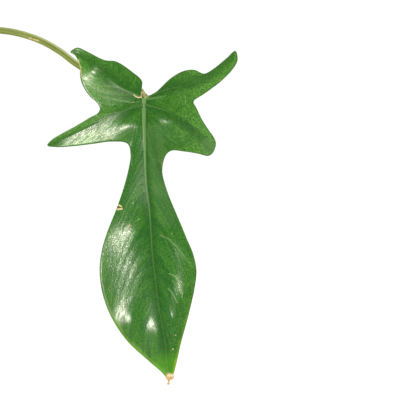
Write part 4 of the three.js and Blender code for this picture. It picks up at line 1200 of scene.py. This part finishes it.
def spear_piece():
    """Radius at height s and way round k: the spindle's profile times 0.88 to 1.08 as k goes once round."""
    share = np.linspace(0, 1, 120)
    path = stem_top + np.stack([5 * share**2, 3 * share - 9 * share**2, SPEAR_LENGTH * share], 1)
    profile = SPEAR_RADIUS * (0.62 + 1.1 * share - 1.72 * share**1.9) + 0.2
    sides = 40
    way = np.linspace(0, 1, sides, endpoint=False)[None, :] + 0.9 * share[:, None]
    radius = profile[:, None] * (0.88 + 0.16 * (way % 1))
    points, triangles = tube(path * MM, radius * MM, sides)
    piece = new_piece("new_leaf_skin", points, triangles, {"round": tube_map(path * MM, sides)},
                      [spear_skin()])
    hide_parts("new_leaf")


def sheath_skin():
    """Dry tan paper with darker parallel veins and a brown tip."""
    skin, tree, shader = new_skin("sheath", Roughness=0.7, Specular_IOR_Level=0.25)
    uv = stored(tree, "round")
    up_it = split(tree, uv)[0]
    fibre = noise(tree, uv, 4.0, 4, 0.6, stretch=(0.5, 12.0, 1.0))
    tone = mix(tree, ramp(tree, fibre, 0.35, 0.7), colour(150, 116, 70), colour(204, 176, 124))
    tone = mix(tree, ramp(tree, up_it, 3.4, 4.6), tone, colour(112, 78, 44))
    dress(tree, shader, tone, fibre, 0.8, 0.3)
    return skin


def sheath_piece():
    """Half a cone on a grid: height s and way across k. It spans 83 degrees each way at the foot and 5 at the
    tip, narrowing by s^2.2. It leans out by the power 1.5 of the height over a fifth. Its edges ripple."""
    rows, columns = 60, 25
    s, k = np.meshgrid(np.linspace(0, 1, rows), np.linspace(-1, 1, columns), indexing="ij")
    half_angle = math.radians(78) * (1 - s**2.2) + math.radians(5)
    angle = math.radians(205) + half_angle * k
    lean = 15 * np.maximum(s - 0.2, 0) ** 1.5
    ripple = 0.25 * np.sin(9 * s + 3 * k) * k**2
    foot = stem_top + np.array([0, 0, -10])

    def wall(radius):
        r = radius + lean + ripple
        return foot + np.stack([r * np.cos(angle), r * np.sin(angle), SHEATH_LENGTH * s], -1)

    points = np.concatenate([wall(4.5).reshape(-1, 3), wall(4.1).reshape(-1, 3)])
    outer = grid_triangles(rows, columns)
    count = rows * columns
    triangles = np.concatenate([outer, outer[:, ::-1] + count, rim_wall(outer, count)])[:, ::-1]
    pairs = np.tile(np.stack([SHEATH_LENGTH / 10 * s.ravel(), (k.ravel() + 1) / 2], 1), (2, 1))
    piece = new_piece("new_leaf_sheath_skin", points * MM, triangles, {"round": pairs[triangles]},
                      [sheath_skin()])
    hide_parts("new_leaf_sheath")


spear_piece()
sheath_piece()

# %% [markdown]
# ## The pot
# A thrown clay pot: one profile turned about the axis, with rounded lips and faint rings from the maker's
# fingers. Four drainage holes are cut through its floor with a Boolean.

# %% Pot
POT_HEIGHT, RIM_RADIUS, BODY_TOP_RADIUS, BASE_RADIUS = 112.0, 65.0, 60.5, 44.0
RIM_HEIGHT, WALL, FLOOR = 21.0, 4.0, 6.0
DRAIN_RADIUS, DRAIN_CIRCLE, DRAINS = 5.0, 22.0, 4
SOIL_LEVEL = 97.0


def inner_radius(z):
    """The wall's inner radius at a height: the body's cone less the wall."""
    return BASE_RADIUS + (BODY_TOP_RADIUS - BASE_RADIUS) * z / POT_HEIGHT - WALL


def pot_profile():
    """Keys of the section from the base's middle, up the outside, over the rim, down to the floor's middle.
    Each straight run is filled with points, and the outside is hollowed by rings up to 0.2 mm deep."""
    rim_low, top = POT_HEIGHT - RIM_HEIGHT, POT_HEIGHT
    body_at_rim = BASE_RADIUS + (BODY_TOP_RADIUS - BASE_RADIUS) * rim_low / POT_HEIGHT
    inner = inner_radius(top)
    keys = np.array([
        (0, 0), (BASE_RADIUS - 1.5, 0), (BASE_RADIUS - 0.4, 0.5), (BASE_RADIUS, 1.6),
        (body_at_rim - 0.2, rim_low - 0.6), (body_at_rim + 0.5, rim_low), (RIM_RADIUS - 2.6, rim_low + 0.2),
        (RIM_RADIUS - 1.6, rim_low + 0.7), (RIM_RADIUS - 1.2, rim_low + 1.8), (RIM_RADIUS - 0.1, top - 2.4),
        (RIM_RADIUS - 0.5, top - 0.8), (RIM_RADIUS - 1.6, top - 0.1), (inner + 1.4, top),
        (inner + 0.4, top - 0.5), (inner, top - 1.6), (inner_radius(FLOOR), FLOOR), (0, FLOOR)])
    spans = np.maximum(np.ceil(np.linalg.norm(np.diff(keys, axis=0), axis=1) / 2.2).astype(int), 1)
    runs = [np.linspace(i, i + 1, n, endpoint=False) for i, n in enumerate(spans)]
    place = np.concatenate([*runs, [len(keys) - 1]])
    filled = np.stack([np.interp(place, np.arange(len(keys)), keys[:, k]) for k in range(2)], 1)
    outside = (place > 3) & (place < 9)  # between the foot's key and the one below the lip
    filled[:, 0] -= outside * (0.1 + 0.1 * np.sin(filled[:, 1] * 1.7) * np.sin(filled[:, 1] * 0.31))
    return filled


def pot_skin():
    """Unglazed clay: grainy, blotched, with dark specks and a pale salt bloom low down and round the rim."""
    skin, tree, shader = new_skin("pot", Specular_IOR_Level=0.25)
    place = object_place(tree)
    height = split(tree, place)[2]
    blotch = noise(tree, place, 38, 5, 0.6)
    grain = noise(tree, place, 900, 2)
    turned = noise(tree, place, 260, 3, 0.6, stretch=(0.08, 0.08, 1.0))
    tone = mix(tree, ramp(tree, blotch, 0.35, 0.68), colour(168, 96, 62), colour(196, 122, 82))
    tone = mix(tree, ramp(tree, turned, 0.3, 0.7, 0, 0.35), tone, colour(150, 84, 54))
    tone = mix(tree, ramp(tree, grain, 0.45, 0.75, 0, 0.3), tone, colour(214, 150, 112))
    specks = speckle(tree, place, 330.0, 0.3)
    tone = mix(tree, times(tree, specks, 0.6), tone, colour(120, 66, 44))
    low = ramp(tree, plus(tree, height, times(tree, blotch, 0.05)), 0.055, 0.02)
    high = ramp(tree, calc(tree, "SUBTRACT", height, times(tree, blotch, 0.02)), 0.085, 0.104)
    patchy = ramp(tree, noise(tree, place, 70, 5, 0.7), 0.42, 0.66)
    bloom = times(tree, larger(tree, low, high), patchy)
    tone = mix(tree, times(tree, bloom, 0.55), tone, colour(226, 204, 184))
    relief = plus(tree, times(tree, grain, 0.5), turned)
    dress(tree, shader, tone, relief, 0.7, 0.25, rough=ramp(tree, grain, 0.3, 0.7, 0.78, 0.92))
    return skin


def turned_mesh(profile, segments):
    """The profile carried round the axis. Its first and last points lie on the axis, so both ends close."""
    angle = np.linspace(0, 2 * np.pi, segments, endpoint=False)
    r, z = profile[:, 0:1], profile[:, 1:2]
    points = np.stack([r * np.cos(angle), r * np.sin(angle), z + 0 * angle], -1).reshape(-1, 3) * MM
    triangles = grid_triangles(len(profile), segments, closed=True, flip=True)
    points, triangles, _, _ = merged(points, triangles)
    return points, triangles


def cut_with(piece, cutters):
    """Cuts holes with a Boolean for each cutter, applies them and removes the cutters."""
    for cutter in cutters:
        cut = piece.modifiers.new("drain", "BOOLEAN")
        cut.operation, cut.object, cut.solver = "DIFFERENCE", cutter, "EXACT"
    bpy.context.view_layer.update()
    done = bpy.data.meshes.new_from_object(piece.evaluated_get(bpy.context.evaluated_depsgraph_get()))
    piece.modifiers.clear()
    piece.data = done
    for cutter in cutters:
        bpy.data.objects.remove(cutter)


def pot_piece():
    """The turned pot with its drainage holes."""
    points, triangles = turned_mesh(pot_profile(), 160)
    piece = new_piece("pot_skin", points, triangles[:, ::-1], skins=[pot_skin()])
    cutters = []
    for k in range(DRAINS):
        around = 2 * math.pi * k / DRAINS + math.pi / 4
        middle_of_hole = np.array([DRAIN_CIRCLE * math.cos(around), DRAIN_CIRCLE * math.sin(around), 0])
        drill, faces = turned_mesh(np.array([(0, -5), (DRAIN_RADIUS, -5), (DRAIN_RADIUS, 15), (0, 15.0)]), 40)
        mesh = bpy.data.meshes.new("drill")
        mesh.from_pydata((drill + middle_of_hole * MM).tolist(), [], faces[:, ::-1].tolist())
        cutters.append(added("drill", mesh))
    cut_with(piece, cutters)
    piece.data.set_sharp_from_angle(angle=math.radians(50))
    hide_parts("pot")


pot_piece()

# %% [markdown]
# ## The potting mix
# A heaped, lumpy plug, strewn with what such a mix is made of: bark chips, white perlite and crumbs. Each
# kind is one mesh of many small flakes, dropped at seeded random places, sunk a little and turned at random.

# %% Potting mix
rng = np.random.default_rng(7)


def soil_height(x, y):
    """The part's own heap and lumps, by radius and angle, plus finer lumps."""
    r, a = np.hypot(x, y), np.arctan2(y, x)
    heap = 3.5 * (1 - (r / 56) ** 2)
    lumps = np.sin(0.21 * r + 3 * a) * np.cos(0.16 * r - 2 * a + 1) + 0.6 * np.sin(0.4 * r + 5 * a)
    fine = 0.35 * np.sin(0.9 * x + 1.3 * np.sin(0.5 * y)) * np.cos(0.8 * y + np.sin(0.6 * x))
    return SOIL_LEVEL + heap + 0.9 * lumps * np.minimum(r / 10, 1) + fine


def grain_skin(name, dark, light, scale):
    """A crumbly skin of two tones."""
    skin, tree, shader = new_skin(name, Roughness=0.9, Specular_IOR_Level=0.2)
    grain = noise(tree, object_place(tree), scale, 5, 0.7)
    tone = mix(tree, ramp(tree, grain, 0.35, 0.65), colour(*dark), colour(*light))
    dress(tree, shader, tone, grain, 1.0, 0.6)
    return skin


def soil_piece():
    """Rings from the floor's edge up the wall and in over the top, closed at the middle above and below."""
    sectors = 120
    floor = FLOOR + 0.3
    edge = inner_radius(SOIL_LEVEL) - 0.5
    angle = np.linspace(0, 2 * np.pi, sectors, endpoint=False)[None]
    radius = np.concatenate([[0.001, inner_radius(floor) - 0.5, edge], np.linspace(edge - 0.4, 0.001, 56)])
    radius = radius[:, None]
    x, y = radius * np.cos(angle), radius * np.sin(angle)
    z = soil_height(x, y)
    fade = smooth_step(edge, edge - 5, radius)
    z = (SOIL_LEVEL - 2) * (1 - fade) + z * fade
    z[0:2] = floor
    points = np.stack([x, y, z], -1).reshape(-1, 3) * MM
    points, triangles, _, _ = merged(points, grid_triangles(len(radius), sectors, closed=True), grain=5e-6)
    skin = grain_skin("potting mix", (34, 24, 18), (76, 56, 40), 260)
    piece = new_piece("soil_skin", points, triangles, skins=[skin])
    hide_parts("soil")


def random_turns(count):
    """Rotation matrices from random unit quaternions."""
    q = rng.normal(size=(count, 4))
    w, x, y, z = (q / np.linalg.norm(q, axis=1, keepdims=True)).T
    rows = [[1 - 2 * (y * y + z * z), 2 * (x * y - z * w), 2 * (x * z + y * w)],
            [2 * (x * y + z * w), 1 - 2 * (x * x + z * z), 2 * (y * z - x * w)],
            [2 * (x * z - y * w), 2 * (y * z + x * w), 1 - 2 * (x * x + y * y)]]
    return np.moveaxis(np.array(rows), 2, 0)


def strewn(name, count, size, flat, skin):
    """Flakes: a hexagon with two narrower steps above and below, jittered, scaled at random between the two
    sizes, pressed to a share flat of its height, turned, and set on the mix. Flat ones lie nearly level."""
    sides = 6
    angle = np.linspace(0, 2 * np.pi, sides, endpoint=False)
    levels = [(0.0, -1.0), (0.8, -0.75), (1.0, 0.0), (0.75, 0.75), (0.0, 1.0)]
    base = np.concatenate([np.stack([r * np.cos(angle), r * np.sin(angle), z + 0 * angle], 1)
                           for r, z in levels])
    base, shell, _, _ = merged(base, grid_triangles(len(levels), sides, closed=True), grain=1e-4)
    big = rng.uniform(*size, count)[:, None, None]
    jitter = rng.normal(1.0, 0.13, (count, len(base), 3))
    stretch = np.stack([rng.uniform(0.7, 1.5, count), rng.uniform(0.5, 1.0, count), np.full(count, flat)], 1)
    turns = random_turns(count)
    tilt = rng.uniform(0, 2 * np.pi, count)
    c, s, none = np.cos(tilt), np.sin(tilt), 0 * tilt
    level = np.moveaxis(np.array([[c, -s, none], [s, c, none], [none, none, 1 + none]]), 2, 0)
    lie = 0.8 * level + 0.2 * turns if flat < 0.6 else turns
    local = np.einsum("nij,nkj->nki", lie, base[None] * jitter * stretch[:, None]) * big
    reach = inner_radius(SOIL_LEVEL) - 1.6 - size[1]
    r = reach * np.sqrt(rng.uniform(((STEM_RADIUS + 1.5) / reach) ** 2, 1, count))
    a = rng.uniform(0, 2 * np.pi, count)
    x, y = r * np.cos(a), r * np.sin(a)
    centre = np.stack([x, y, soil_height(x, y) + 0.25 * flat * big[:, 0, 0]], 1)
    points = ((local + centre[:, None]) * MM).reshape(-1, 3)
    triangles = (shell[None] + (np.arange(count) * len(base))[:, None, None]).reshape(-1, 3)
    return new_piece(name, points, triangles, skins=[skin], smooth=False)


soil_piece()
for name, count, size, flat, skin_name, dark, light, scale in (
        ("bark_chips", 190, (1.8, 4.6), 0.3, "bark", (70, 44, 26), (134, 92, 58), 420),
        ("perlite", 110, (0.8, 1.9), 0.85, "perlite grain", (205, 200, 190), (240, 238, 232), 700),
        ("crumbs", 900, (0.5, 1.3), 0.8, "peat crumb", (38, 26, 18), (88, 62, 42), 500)):
    strewn(name, count, size, flat, grain_skin(skin_name, dark, light, scale))

# %% [markdown]
# ## Light and floor
# The key light stands in front of the leaf, to the left and a little above, and gives its highlights. A weak
# fill comes from the right. Two side lights are kept out of reflections. A sun from above and behind keeps
# the floor bright without lighting the leaf's face, and the sky is dim, because a glossy leaf mirrors it,
# but the camera sees it white.

# %% Floor
FLOOR_RADIUS = 12.0


def floor_piece():
    """A wide pale disc just under the pot."""
    angle = np.linspace(0, 2 * np.pi, 96, endpoint=False)
    rim = np.stack([FLOOR_RADIUS * np.cos(angle), FLOOR_RADIUS * np.sin(angle), 0 * angle - 2e-4], 1)
    mesh = bpy.data.meshes.new("floor")
    mesh.from_pydata(rim.tolist(), [], [list(range(len(rim)))])
    floor = added("floor", mesh)
    skin, tree, shader = new_skin("floor", Roughness=0.9, Specular_IOR_Level=0.1)
    seen = node(tree, "LightPath").outputs["Is Camera Ray"]
    tree.links.new(mix(tree, seen, (0.4, 0.4, 0.4, 1), (0.9, 0.9, 0.9, 1)), shader["Base Color"])
    mesh.materials.append(skin)


floor_piece()

# %% Lights
KEY_DIRECTION = (-0.436, -0.886, 0.160)
KEY_DISTANCE, KEY_SIZE, KEY_POWER = 1.25, 0.2, 8.0


def area_light(name, towards, target, distance, size, power):
    """A square soft light at a distance from its target, aimed at it, which the camera doesn't see."""
    data = bpy.data.lights.new(name, "AREA")
    data.size, data.energy = size, power
    light = added(name, data)
    direction = Vector(towards).normalized()
    light.location = Vector(target) + direction * distance
    light.rotation_euler = looking(-direction)
    light.visible_camera = False
    return light


key = area_light("key", KEY_DIRECTION, LEAF_JOINT - UPWARDS * 0.06, KEY_DISTANCE, KEY_SIZE, KEY_POWER)
key.data.color = (1.0, 0.95, 0.82)
area_light("fill", (0.62, -0.75, 0.25), LEAF_JOINT, 1.9, 1.6, 2.0)
for side in (-1, 1):
    area_light("side", (0.92 * side, -0.38, 0.12), LEAF_JOINT, 1.7, 1.0, 6.0).visible_glossy = False

sun_data = bpy.data.lights.new("sun", "SUN")
sun_data.energy, sun_data.angle = 3.1, math.radians(35)
sun = added("sun", sun_data)
sun.rotation_euler = looking((-0.25, -0.42, -0.9))

world = bpy.data.worlds.new("world")
bpy.context.scene.world = world
world.use_nodes = True
sky = world.node_tree.nodes["Background"]
path_kind = node(world.node_tree, "LightPath")
white = node(world.node_tree, "Background", {"Color": (1, 1, 1, 1), "Strength": 1.05})
sky.inputs["Color"].default_value = (1, 1, 1, 1)
sky.inputs["Strength"].default_value = 0.24
seen_or_lit = node(world.node_tree, "MixShader", {0: path_kind.outputs["Is Camera Ray"], 1: sky.outputs[0],
                                                  2: white.outputs[0]})
world.node_tree.links.new(seen_or_lit.outputs[0], world.node_tree.nodes["World Output"].inputs[0])
bpy.context.scene.view_settings.view_transform = "Standard"
bpy.context.scene.view_settings.look = "None"
